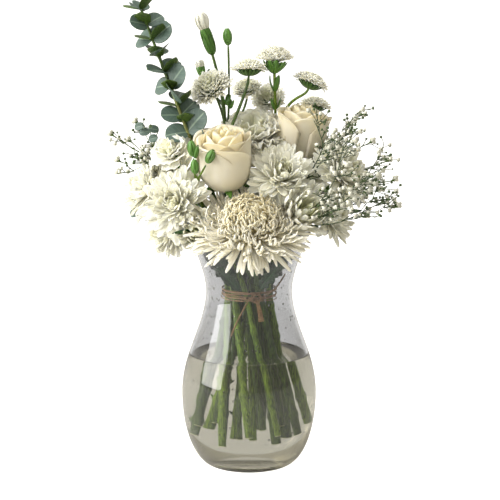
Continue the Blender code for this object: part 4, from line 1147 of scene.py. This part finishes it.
class BOUQUET_OT_roses(bpy.types.Operator):
    """The cream roses."""

    bl_idname = "bouquet.roses"
    bl_label = "Roses"

    def execute(self, context):
        """Nested sectors of eggs with rolled rims, and five sepals under them."""
        sizes, colours = settings()
        cream = petal_material("cream_rose_petal", colours.rose_heart, colours.rose_cream,
                               linear("F0E2BA"), roughness=0.5, glow=0.35, ribs=5.0, deep=0.8)
        for order, (node, (lean, turn, radius)) in enumerate(ROSES.items()):
            draw = np.random.default_rng(140 + order)
            head = head_frame(node, lean, turn)
            grids, t = rose_grids(radius, draw)
            make_sheets(node + "_petals", grids, sizes.rose_thickness,
                        (t, draw.random(len(t))), cream, "rose_petal", [node], head, foot=0.5)
            grids = strap_grids(5, 12, 5, 1.5, -1.34 * radius, np.arange(5) * TAU / 5,
                                0.9, 1.5, 0.95 * radius, 0.3 * radius, (0.8, 0.3, 0.05),
                                cup=0.4)
            make_sheets(node + "_sepals", grids, sizes.leaf_thickness,
                        (0.5, draw.random(5)), bract_green(), "bud_sepal", head=head)
        return {"FINISHED"}


class BOUQUET_OT_buds(bpy.types.Operator):
    """The green buds, two of them with white tips."""

    bl_idname = "bouquet.buds"
    bl_label = "Buds"

    def execute(self, context):
        """Green scales that close over each other, and twisted white petals in the tips."""
        sizes, colours = settings()
        white = petal_material("bud_tip_petal", linear("F3EDD4"), colours.white_petal,
                               linear("F6E6D2"), glow=0.25)
        for order, (node, (lean, turn, radius, behind, tip)) in enumerate(BUDS.items()):
            draw = np.random.default_rng(160 + order)
            head = head_frame(node, lean, turn)
            count = 10
            layer = np.arange(count) // 5
            total = behind + (0.35 if tip else 1.6) * radius
            slim = behind > 20
            grids = strap_grids(
                count, 16, 7, 0.9 + 0.25 * layer, -behind,
                np.arange(count) * TAU / 5 + layer * 0.63, 0.16 if slim else 0.75,
                (-0.12 if slim else -0.95) if tip else -1.45,
                total * (1.0 - 0.25 * layer), radius * 1.75, (0.3, 0.6, 0.06), cup=0.9,
                late=1.0)
            make_sheets(node + "_scales", grids, sizes.leaf_thickness,
                        (0.5, draw.random(count) * 0.6), scale_green(), "bud_sepal", [node],
                        head)
            if tip:
                count = 9
                grids = strap_grids(
                    count, 12, 7, 2.2, -0.6 * radius, spiral(count)[1], 0.72, -1.45,
                    tip + 0.9 * radius, radius * 1.8, (0.5, 0.6, 0.3), cup=0.9, late=1.1,
                    sway=0.18 * radius)
                make_sheets(node + "_tip", grids, sizes.petal_thickness,
                            (0.7, draw.random(count)), white, "carnation_petal", head=head)
        return {"FINISHED"}


# ---- Leaves ---------------------------------------------------------------------------------

class BOUQUET_OT_leaves(bpy.types.Operator):
    """The dark lobed leaves among the heads and in the vase's mouth."""

    bl_idname = "bouquet.leaves"
    bl_label = "Leaves"

    def execute(self, context):
        """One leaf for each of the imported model's, and smaller ones up the leafy stems."""
        sizes = settings()[0]
        outline = (0.12, 0.58, 0.1)
        draw = np.random.default_rng(200)
        length = 56.0
        for node, (lean, turn) in LEAVES.items():
            way, face = axes(lean, turn)[:, 1:].T
            root = middle(node) - way * length / 2
            grids = blade_grids(root[None], way[None], face[None], [length], [30], outline,
                                40, 21, 0.18, 0.10, lobes=0.62, buckle=0.10)
            make_sheets(node + "_blade", grids, sizes.leaf_thickness, (0.5, draw.random(1)),
                        mum_leaf_green(), "leaf", [node])
        self.stem_bracts(sizes)
        leafy = [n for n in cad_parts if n.startswith("stem_mum") or n == "stem_disbud"]
        roots = np.vstack([self.roots_on(node, draw) for node in sorted(leafy)])
        count = len(roots)
        outward = unit(roots * (1, 1, 0) + 1e-6)
        spin = draw.uniform(-0.9, 0.9, count)
        outward = np.column_stack((
            outward[:, 0] * np.cos(spin) - outward[:, 1] * np.sin(spin),
            outward[:, 0] * np.sin(spin) + outward[:, 1] * np.cos(spin), outward[:, 2]))
        steep = np.where(roots[:, 2] < VASE_HEIGHT / MM, 2.6, draw.uniform(0.1, 1.5, count))
        ways = unit(outward + steep[:, None] * UP)
        faces_up = unit(UP - outward * 0.9 + draw.normal(0, 0.2, roots.shape))
        lengths = draw.uniform(20, 36, count)
        starts, tips = (np.array([pair[k] for pair in MOUTH_LEAVES], float) for k in (0, 1))
        roots, ways = np.vstack((roots, starts)), np.vstack((ways, tips - starts))
        faces_up = np.vstack((faces_up, np.tile((0.2, -0.9, 0.5), (len(starts), 1))))
        lengths = np.concatenate((lengths, np.linalg.norm(tips - starts, axis=1)))
        grids = blade_grids(roots, ways, faces_up, lengths, lengths * 0.5, outline, 22, 13,
                            0.25, 0.12, lobes=0.55, buckle=0.08)
        verts, faces, params, each = closed_sheets(grids, sizes.leaf_thickness / MM)
        make_piece("filler_leaves", keep_in_glass(verts, sizes), faces, mum_leaf_green(),
                   "leaf", (), shade_values(params, each, 0.5, draw.random(len(roots))))
        return {"FINISHED"}

    @staticmethod
    def stem_bracts(sizes):
        """Narrow pointed bracts that hug the soft stems in threes."""
        parts, shades = [], []
        draw = np.random.default_rng(210)
        for node, height, length in BRACTS:
            points = node_points(node)
            near = points[np.abs(points[:, 2] - height).argsort()[:8]].mean(axis=0)
            near = points[np.linalg.norm(points - near, axis=1).argsort()[:6]].mean(axis=0)
            grids = strap_grids(3, 10, 5, 0.9, 0, np.arange(3) * TAU / 3 + draw.uniform(0, 2),
                                0.55, -0.75 * draw.uniform(0.5, 1.2, 3), length,
                                length * 0.42, (0.5, 0.35, 0.05), cup=0.7)
            verts, faces, params, each = closed_sheets(grids, sizes.leaf_thickness / MM)
            parts.append((verts + near, faces))
            shades.append(shade_values(params, each, 0.5, draw.random(3) * 0.6))
        make_piece("stem_bracts", *join(parts), scale_green(), "bud_sepal", (),
                   np.vstack(shades))

    @staticmethod
    def roots_on(node, draw):
        """Nine places up one stem, between the tie and the heads."""
        points = node_points(node)
        points = points[points[:, 2] > TIE_HEIGHT / MM + 12]
        heights = draw.uniform(points[:, 2].min(), points[:, 2].max() - 4, 9)
        nearest = np.abs(points[:, 2][None, :] - heights[:, None]).argmin(axis=1)
        return points[nearest]


class BOUQUET_OT_eucalyptus(bpy.types.Operator):
    """The eucalyptus branch that leaves the bouquet's top left."""

    bl_idname = "bouquet.eucalyptus"
    bl_label = "Eucalyptus"

    def execute(self, context):
        """Round leaves in pairs up the stem, each pair turned on from the last."""
        sizes, colours = settings()
        draw = np.random.default_rng(230)
        pairs = 10
        line = smooth_line(EUCALYPTUS_LINE, 80)
        index = (np.linspace(0.16, 0.985, pairs) * 79).astype(int)
        roots = np.repeat(line[index], 2, axis=0)
        along = np.repeat(unit(np.gradient(line, axis=0))[index], 2, axis=0)
        side = unit(np.cross(UP, along))
        over = np.cross(along, side)
        turn = np.repeat(np.arange(pairs) * 1.05 + 0.2, 2) + np.tile((0, math.pi), pairs)
        turn = turn + draw.normal(0, 0.2, 2 * pairs)
        out = np.cos(turn)[:, None] * side + np.sin(turn)[:, None] * over
        ways = unit(out + draw.uniform(0.25, 0.7, 2 * pairs)[:, None] * along)
        faces_way = unit(np.cross(ways, np.cross(along, ways)) + 0.35 * draw.normal(
            0, 1, (2 * pairs, 3)) + np.array((0.1, -1.5, 0.2)))
        lengths = (np.repeat(np.linspace(28, 20, pairs), 2)
                   * draw.uniform(0.8, 1.12, 2 * pairs))
        grids = blade_grids(roots, ways, faces_way, lengths, lengths * 0.98,
                            (0.1, 0.52, 0.06), 18, 15, 0.16, 0.10)
        waxy = leaf_material("eucalyptus_leaf", colours.eucalyptus_green, linear("7F927F"),
                             veins=5.0, slant=1.8, bloom=0.14, roughness=0.5, strength=0.22)
        make_sheets("eucalyptus_leaves", grids, sizes.leaf_thickness,
                    (0.5, draw.random(2 * pairs)), waxy, "eucalyptus")
        self.side_leaves(sizes, waxy, line, draw)
        stem = np.concatenate((line[:1] - (line[1] - line[0]) * 12, line))
        twig = streaked_material("eucalyptus_twig", linear("9AA05A"), linear("6A6B38"))
        make_piece("eucalyptus_twig", *closed_tubes(tube_grids(
            stem[None], np.linspace(1.7, 0.8, len(stem))[None], 10)), twig, "eucalyptus")
        return {"FINISHED"}

    @staticmethod
    def side_leaves(sizes, waxy, line, draw):
        """Small leaves at the far left, each on a stalk bowed up from the nearest twig."""
        spots = np.array(SIDE_LEAVES, float)
        ways = unit(spots * (1, 0, 0) + draw.normal(0, 18, spots.shape))
        face = unit(np.array((0, -1.0, 0.4)))
        grids = blade_grids(spots, ways, np.tile(face, (len(spots), 1)),
                            draw.uniform(9, 12, len(spots)), np.full(len(spots), 8.5),
                            (0.2, 0.52, 0.1), 12, 9, 0.2, 0.1)
        make_sheets("side_leaves", grids, sizes.leaf_thickness,
                    (0.5, draw.random(len(spots))), waxy, "eucalyptus")
        points = np.vstack([node_points("stem_gypsophila_left"), line])
        apart = np.linalg.norm(points[:, None] - spots[None] - (8, 0, -14), axis=2)
        held = points[apart.argmin(axis=0)]
        share = np.array((0, 0.35, 0.7, 1.0))[None, :, None]
        lines = (held[:, None] * (1 - share) + spots[:, None] * share
                 + 2.0 * np.sin(share * math.pi) * UP)
        make_piece("side_leaf_stalks", *closed_tubes(tube_grids(
            lines, np.array((0.6, 0.5, 0.45, 0.4)), 6)), woody_bark(), "eucalyptus")


# ---- Baby's breath --------------------------------------------------------------------------

class BOUQUET_OT_gypsophila(bpy.types.Operator):
    """The baby's breath: fine twigs with white puffs and green buds."""

    bl_idname = "bouquet.gypsophila"
    bl_label = "Baby's Breath"

    def execute(self, context):
        """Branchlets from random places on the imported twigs, each ending in a puff or bud."""
        draw = np.random.default_rng(260)
        white = plain_material("gypsophila_floret", linear("E4E3D2"), 0.6, 0.15)
        green = plain_material("gypsophila_bud", linear("46592F"))
        twig = plain_material("gypsophila_twig", linear("3C4C2C"))
        for node, ends in TWIGS.items():
            ends = np.array(ends, float)
            points = node_points(node)
            off = np.linalg.norm(points[:, None, :] - ends[None], axis=2).min(axis=1)
            outer = points[(np.hypot(points[:, 0], points[:, 1]) > TWIG_REACH) & (off > 6)
                           & (points[:, 2] > VASE_HEIGHT / MM + 12)]
            count, stalks = BRANCHLETS[node], []
            if "right" in node:
                routes = np.stack([smooth_line(route, 20) for route in SPRAYS])
                stalks.append(tube_grids(routes, np.linspace(0.7, 0.4, 20), 6))
                outer = np.vstack((outer, np.repeat(routes[:, 7:].reshape(-1, 3), 3, axis=0)))
            first = self.sprout(outer[draw.integers(0, len(outer), count)], 8, 28, draw)
            second = self.sprout(first[:, 2], 5, 14, draw)
            third = self.sprout(first[:, 1], 4, 12, draw)
            lines = np.vstack((first, second, third))
            tips = lines[:, -1]
            stalks.append(tube_grids(lines, np.array((0.45, 0.38, 0.32, 0.28)), 4))
            make_piece(node + "_branchlets", *join([closed_tubes(grid) for grid in stalks]),
                       twig, "stem")
            fringe = (np.abs(tips[:, 0]) > 112) | (tips[:, 2] > 352)
            open_now = draw.random(len(tips)) < np.where(fringe, 0.3, 0.72)
            flowers = np.vstack((tips[open_now], ends))
            size = np.concatenate((draw.uniform(1.4, 2.7, open_now.sum()),
                                   np.full(len(ends), 3.2)))
            make_piece(node + "_puffs", *balls(flowers, size, 5, 8, 0.5), white,
                       "chrysanthemum_petal")
            buds, cups = tips[~open_now], flowers - 1.2 * UP
            size = np.concatenate((draw.uniform(1.0, 1.6, len(buds)),
                                   np.full(len(cups), 1.3)))
            make_piece(node + "_buds", *balls(np.vstack((buds, cups)), size, 4, 6), green,
                       "bud_sepal")
        return {"FINISHED"}

    @staticmethod
    def sprout(roots, shortest, longest, draw):
        """Four-point lines from the roots, away from the bouquet and at random, folded back
        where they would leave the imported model's box."""
        count = len(roots)
        low, high = np.array(CAD_BOX[0]) / MM + 2, np.array(CAD_BOX[1]) / MM - 2
        away = unit(unit(roots * (1, 0.6, 0.15)) + draw.normal(0, 0.75, (count, 3)))
        away[:, 2] = np.abs(away[:, 2]) * 0.8 + 0.1 * draw.normal(0, 1, count)
        step = unit(away) * draw.uniform(shortest, longest, count)[:, None]
        tips = roots + step
        tips = np.where((tips < low) | (tips > high), roots - step, tips)
        bow = draw.normal(0, 0.08, (count, 3)) * np.linalg.norm(step, axis=1)[:, None]
        return np.stack((roots, roots * 0.67 + tips * 0.33 + bow,
                         roots * 0.33 + tips * 0.67 + bow, tips), axis=1)


# ---- Stems ----------------------------------------------------------------------------------

def stem_ends(node):
    """A stem's foot and its middle where the tie holds it, in millimetres."""
    points = node_points(node)
    foot = points[points[:, 2] < points[:, 2].min() + 5].mean(axis=0)
    held = points[np.abs(points[:, 2] - TIE_HEIGHT / MM) < 3.3]
    return foot, held.mean(axis=0)


def stem_radius(node):
    """A stem's radius below the tie, in millimetres, by its kind."""
    if "gypsophila" in node:
        return 2.2
    return 4.2 if node in WOODY_STEMS else 3.8 if "mum" in node else 3.1


def rounded_copy(node):
    """A copy of a node's mesh, its doubles merged and its facets rounded, in millimetres."""
    work = bmesh.new()
    work.from_mesh(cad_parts[node].data)
    bmesh.ops.remove_doubles(work, verts=work.verts, dist=1e-6)
    bmesh.ops.join_triangles(work, faces=work.faces, angle_face_threshold=0.6,
                             angle_shape_threshold=1.6)
    mesh = bpy.data.meshes.new("rounding")
    work.to_mesh(mesh)
    work.free()
    helper = bpy.data.objects.new("rounding", mesh)
    bpy.context.scene.collection.objects.link(helper)
    smooth = helper.modifiers.new("round", "SUBSURF")
    smooth.levels = smooth.render_levels = 2
    seen = helper.evaluated_get(bpy.context.evaluated_depsgraph_get())
    rounded = bpy.data.meshes.new_from_object(seen)
    bpy.data.objects.remove(helper)
    verts, normals = np.empty((2, len(rounded.vertices) * 3))
    rounded.vertices.foreach_get("co", verts)
    rounded.vertex_normals.foreach_get("vector", normals)
    loops = np.empty(len(rounded.loops), np.int32)
    rounded.loops.foreach_get("vertex_index", loops)
    bpy.data.meshes.remove(rounded)
    return verts.reshape(-1, 3) / MM, normals.reshape(-1, 3), loops.reshape(-1, 4)


class BOUQUET_OT_stems(bpy.types.Operator):
    """The nineteen stems, with their knuckles, thorns and cut ends."""

    bl_idname = "bouquet.stems"
    bl_label = "Stems"

    def execute(self, context):
        """A round tube with knuckles from each foot to the tie, and the rounded packed stem
        above."""
        # A cut stem's skin: fresh, smooth and ridged along.
        soft = streaked_material("soft_green_stem", settings()[1].stem_green,
                                 linear("3F5716"))
        dark = woody_bark()
        cut = plain_material("cut_stem_end", linear("D9DBA8"), 0.6)
        thorns, ends = [], []
        stems = sorted(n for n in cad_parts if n.startswith("stem_"))
        for order, node in enumerate(stems):
            draw = np.random.default_rng(300 + order)
            foot, tie = stem_ends(node)
            wiry = "gypsophila" in node
            verts, normals, quads = rounded_copy(node)
            verts = verts + normals * (-0.38 if wiry else 0.12)
            radius = stem_radius(node)
            line, radii, knuckles = self.lower_line(foot, tie, radius, draw)
            tube = closed_tubes(tube_grids(line[None], radii[None], STEM_SIDES))
            woody = node in WOODY_STEMS or order % 3 == 0 or wiry
            make_piece(node + "_skin", *join([(verts, quads), tube]), dark if woody else soft,
                       "eucalyptus" if "eucalyptus" in node else "stem", [node])
            way = unit(tie - foot)
            ends.append(closed_tubes(tube_grids(
                np.stack((foot - way * 0.25, foot + way * 0.2))[None],
                np.array((radius * 0.97, radius * 0.99))[None], STEM_SIDES)))
            thorns.append(self.stubs(knuckles, line, radii, way, draw))
        make_piece("cut_ends", *join(ends), cut, "stem")
        make_piece("leaf_stubs", *join(thorns), dark, "stem")
        return {"FINISHED"}

    @staticmethod
    def lower_line(foot, tie, radius, draw):
        """The stem's line from foot to tie, its radius along it and where its knuckles are."""
        s = np.linspace(0, 1, 70)
        line = foot + (tie - foot) * s[:, None]
        wander = np.sin(s[:, None] * math.pi) * 0.5 * np.sin(
            s[:, None] * TAU * 1.5 + draw.uniform(0, TAU, 3))
        knuckles = np.sort(draw.uniform(0.08, 0.92, KNUCKLES))
        swell = np.exp(-((s[:, None] - knuckles) / 0.02) ** 2).sum(axis=1)
        grain = 0.02 * np.sin(s * 40 + draw.uniform(0, TAU))
        return line + wander, radius * (0.97 + 0.24 * swell + grain), knuckles

    @staticmethod
    def stubs(knuckles, line, radii, way, draw):
        """Stripped leaf stalks or thorns: short cones that point up and out at the knuckles."""
        index = (knuckles * (len(line) - 1)).astype(int)
        turns = draw.uniform(0, TAU, len(index))
        side = unit(np.cross(way, (0.0, 1.0, 0.0)))
        other = np.cross(way, side)
        out = np.cos(turns)[:, None] * side + np.sin(turns)[:, None] * other
        start = line[index] + out * radii[index][:, None] * 0.8
        tip = start + out * draw.uniform(1.5, 3.4, len(index))[:, None] + way * 1.8
        lines = np.stack((start - way, (start + tip) / 2 - way * 0.3, tip), axis=1)
        return closed_tubes(tube_grids(lines, np.array((1.3, 0.9, 0.35)), 6))


# ---- Tie ------------------------------------------------------------------------------------

class BOUQUET_OT_tie(bpy.types.Operator):
    """The raffia wound round the stems, its knot and its free ends."""

    bl_idname = "bouquet.tie"
    bl_label = "Raffia Tie"

    def execute(self, context):
        """Flat strands in tilted rings, loops through each other for the knot, two ends."""
        # Raffia: dry split palm leaf, matt and fibrous, with darker fibres along it.
        raffia = streaked_material("dry_raffia", settings()[1].raffia_tan, linear("77583A"),
                                   (300.0, 300.0, 300.0), 0.65)
        draw = np.random.default_rng(400)
        turns = np.linspace(0, TAU, 97)[:-1]
        phase = draw.uniform(0, TAU, STRANDS)[:, None]
        tilt = draw.normal(0, 1.6, STRANDS)[:, None]
        level = np.linspace(-3.5, 5.5, STRANDS)[:, None] + tilt * np.sin(turns + phase)
        radius = TIE_RADIUS / MM - 0.75 + 0.5 * np.sin(5 * turns + phase) - 0.2 * np.abs(
            np.sin(11 * turns + phase))
        rings = np.stack((radius * np.cos(turns), radius * np.sin(turns),
                          TIE_HEIGHT / MM + level), axis=-1)
        make_piece("raffia_strands",
                   *join([self.hoop(ring, draw.uniform(0.9, 1.7), 0.4) for ring in rings]),
                   raffia, "raffia", ["raffia_wrap"])
        self.knot(raffia, draw)
        for node, route in RAFFIA_ENDS.items():
            self.free_end(node, smooth_line(route, 30), raffia)
        return {"FINISHED"}

    @staticmethod
    def free_end(node, line, raffia):
        """One free end: a round strand on a curve along the line."""
        curve = bpy.data.curves.new(node + "_strand", "CURVE")
        curve.dimensions = "3D"
        curve.bevel_depth = RAFFIA_WIDTH / 2
        curve.bevel_resolution = 3
        curve.use_fill_caps = True
        spline = curve.splines.new("POLY")
        spline.points.add(len(line) - 1)
        spline.points.foreach_set("co", np.column_stack(
            (line * MM, np.ones(len(line)))).ravel())
        curve.materials.append(raffia)
        strand = bpy.data.objects.new(node + "_strand", curve)
        bpy.context.scene.collection.objects.link(strand)
        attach(strand, BODY)
        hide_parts(node)

    @staticmethod
    def hoop(ring, width, thickness):
        """A closed flat strand: an ellipse, tall in Z, carried round a ring."""
        sides = 8
        turns = np.arange(sides) * TAU / sides
        out = unit(ring * (1, 1, 0))
        grid = (ring[:, None, :] + thickness * np.cos(turns)[None, :, None] * out[:, None, :]
                + width / 2 * np.sin(turns)[None, :, None] * UP)
        index = np.arange(len(ring) * sides).reshape(len(ring), sides)
        index = np.vstack((index, index[:1]))
        index = np.concatenate((index, index[:, :1]), axis=1)
        return grid.reshape(-1, 3), [grid_quads(index)]

    @staticmethod
    def knot(raffia, draw):
        """Loops of strand through each other where the ends cross, and a flat strip that
        hangs from them."""
        way = math.radians(KNOT_TURN)
        out = np.array((math.cos(way), math.sin(way), 0))
        side = np.array((-out[1], out[0], 0))
        heart = out * (TIE_RADIUS / MM + 1.2) + UP * (TIE_HEIGHT / MM)
        t = np.linspace(0, TAU, 65)[:-1]
        strands = []
        for k in range(KNOT_LOOPS):
            lean = draw.uniform(-1.2, 1.2)
            wide, tall = draw.uniform(3.6, 5.6), draw.uniform(3.0, 5.0)
            along, rise = wide * np.cos(t), tall * np.sin(t)
            turned_along = along * math.cos(lean) - rise * math.sin(lean)
            turned_rise = along * math.sin(lean) + rise * math.cos(lean)
            bulge = 1.6 + 1.4 * np.sin(2 * t + k)
            loop = (heart + turned_along[:, None] * side + turned_rise[:, None] * UP
                    + bulge[:, None] * out)
            loop = np.vstack((loop, loop[:1]))
            strands.append(closed_tubes(tube_grids(
                loop[None], np.full((1, len(loop)), 1.25), 8, 0.55)))
        strip = smooth_line([heart + out * far + side * aside - UP * down
                             for far, aside, down in KNOT_STRIP], 24)
        strands.append(closed_tubes(tube_grids(
            strip[None], np.linspace(1.4, 2.9, 24)[None], 10, 0.14)))
        make_piece("raffia_knot", *join(strands), raffia, "raffia")


# ---- Stage ----------------------------------------------------------------------------------

class BOUQUET_OT_stage(bpy.types.Operator):
    """A white floor, soft light from the left and a camera that looks slightly down."""

    bl_idname = "bouquet.stage"
    bl_label = "Stage"

    def execute(self, context):
        """Builds the floor, world, lights and camera."""
        self.floor(context.scene, settings()[1].paper)
        self.sky(context.scene)
        for name, place in SOFTBOXES.items():
            self.light(name, *place)
        self.camera(context.scene)
        context.scene.view_settings.view_transform = "Standard"
        context.scene.view_settings.look = "None"
        return {"FINISHED"}

    @staticmethod
    def floor(scene, paper):
        """A disc of white paper. The camera sees it brighter than it lights the vase, and
        through glass it is a flat white."""
        turns = np.arange(64) * TAU / 64
        disc = np.column_stack((np.cos(turns), np.sin(turns), 0 * turns)) * FLOOR_RADIUS
        mesh = bpy.data.meshes.new("paper_floor")
        mesh.from_pydata(disc.tolist(), [], [tuple(range(64))])
        floor = bpy.data.objects.new("paper_floor", mesh)
        scene.collection.objects.link(floor)
        made, tree, shader = new_material("white_paper", {"Base Color": paper,
                                                          "Roughness": 0.9})
        path = add_node(tree, "ShaderNodeLightPath")
        bright = add_node(tree, "ShaderNodeEmission", {"Color": WHITE, "Strength": 0.95})
        flat_white = add_node(tree, "ShaderNodeEmission", {"Color": WHITE, "Strength": 1.0})
        both = add_node(tree, "ShaderNodeAddShader", {0: shader, 1: bright})
        seen = add_node(tree, "ShaderNodeMixShader", {
            0: path.outputs["Is Camera Ray"], 1: shader, 2: both})
        through = add_node(tree, "ShaderNodeMixShader", {
            0: path.outputs["Is Transmission Ray"], 1: seen, 2: flat_white})
        tree.links.new(through.outputs["Shader"],
                       tree.get_output_node("ALL").inputs["Surface"])
        mesh.materials.append(made)

    @staticmethod
    def sky(scene):
        """White to the camera, soft warm grey and dimmer to the right for everything else."""
        world = bpy.data.worlds.new("studio")
        scene.world = world
        world.use_nodes = True
        tree = world.node_tree
        tree.nodes.clear()
        spot = add_node(tree, "ShaderNodeTexCoord").outputs["Generated"]
        parts = add_node(tree, "ShaderNodeSeparateXYZ", {"Vector": spot})
        level = add_node(tree, "ShaderNodeMapRange", {
            "Value": parts.outputs["X"], "From Min": -1.0, "To Min": 0.86, "To Max": 0.48})
        soft = add_node(tree, "ShaderNodeBackground", {"Color": linear("FFFBEF"),
                                                       "Strength": level})
        white = add_node(tree, "ShaderNodeBackground", {"Color": WHITE, "Strength": 1.0})
        path = add_node(tree, "ShaderNodeLightPath")
        mixed = add_node(tree, "ShaderNodeMixShader", {
            0: path.outputs["Is Camera Ray"], 1: soft, 2: white})
        add_node(tree, "ShaderNodeOutputWorld", {"Surface": mixed})

    @staticmethod
    def light(name, spot, aim, size, power):
        """A rectangular softbox of size (width, height) at spot, facing aim."""
        data = bpy.data.lights.new(name, "AREA")
        data.shape = "RECTANGLE"
        data.size, data.size_y = size
        data.energy = power
        lamp = bpy.data.objects.new(name, data)
        lamp.location = spot
        away = np.array(spot) - np.array(aim)
        flat = math.hypot(away[0], away[1])
        lamp.rotation_euler = (math.pi / 2 - math.atan2(away[2], flat), 0,
                               math.atan2(away[1], away[0]) + math.pi / 2)
        bpy.context.scene.collection.objects.link(lamp)

    @staticmethod
    def camera(scene):
        """The camera, in front and a little above the heads."""
        data = bpy.data.cameras.new("camera")
        data.lens = LENS
        data.sensor_width = SENSOR
        data.dof.use_dof = False
        eye = bpy.data.objects.new("camera", data)
        eye.location = CAMERA_PLACE
        eye.rotation_euler = (math.radians(90 - CAMERA_DOWN), 0, 0)
        scene.collection.objects.link(eye)
        scene.camera = eye


class BOUQUET_PT_panel(bpy.types.Panel):
    """Lists the bouquet's operators and settings."""

    bl_idname = "BOUQUET_PT_panel"
    bl_label = "White Bouquet"
    bl_space_type = "VIEW_3D"
    bl_region_type = "UI"
    bl_category = "Bouquet"

    def draw(self, context):
        """Draws a button for each operator and a field for each setting."""
        for operator in OPERATORS:
            self.layout.operator(operator.bl_idname)
        for group in (context.scene.bouquet_sizes, context.scene.bouquet_colours):
            box = self.layout.box()
            for key in group.__annotations__:
                box.prop(group, key)


OPERATORS = (
    BOUQUET_OT_vase, BOUQUET_OT_water, BOUQUET_OT_stems, BOUQUET_OT_tie, BOUQUET_OT_disbud,
    BOUQUET_OT_spray_mums, BOUQUET_OT_buttons, BOUQUET_OT_carnations, BOUQUET_OT_roses,
    BOUQUET_OT_buds, BOUQUET_OT_leaves, BOUQUET_OT_eucalyptus, BOUQUET_OT_gypsophila,
    BOUQUET_OT_stage,
)
CLASSES = (BouquetSizes, BouquetColours, *OPERATORS, BOUQUET_PT_panel)


def register():
    """Registers the classes and puts the settings on the scene."""
    for kind in CLASSES:
        bpy.utils.register_class(kind)
    bpy.types.Scene.bouquet_sizes = PointerProperty(type=BouquetSizes)
    bpy.types.Scene.bouquet_colours = PointerProperty(type=BouquetColours)


def unregister():
    """Takes the settings off the scene and unregisters the classes."""
    del bpy.types.Scene.bouquet_colours
    del bpy.types.Scene.bouquet_sizes
    for kind in reversed(CLASSES):
        bpy.utils.unregister_class(kind)


def main():
    """Builds everything."""
    register()
    for operator in OPERATORS:
        group, name = operator.bl_idname.split(".")
        getattr(getattr(bpy.ops, group), name)()


if __name__ == "__main__":
    main()
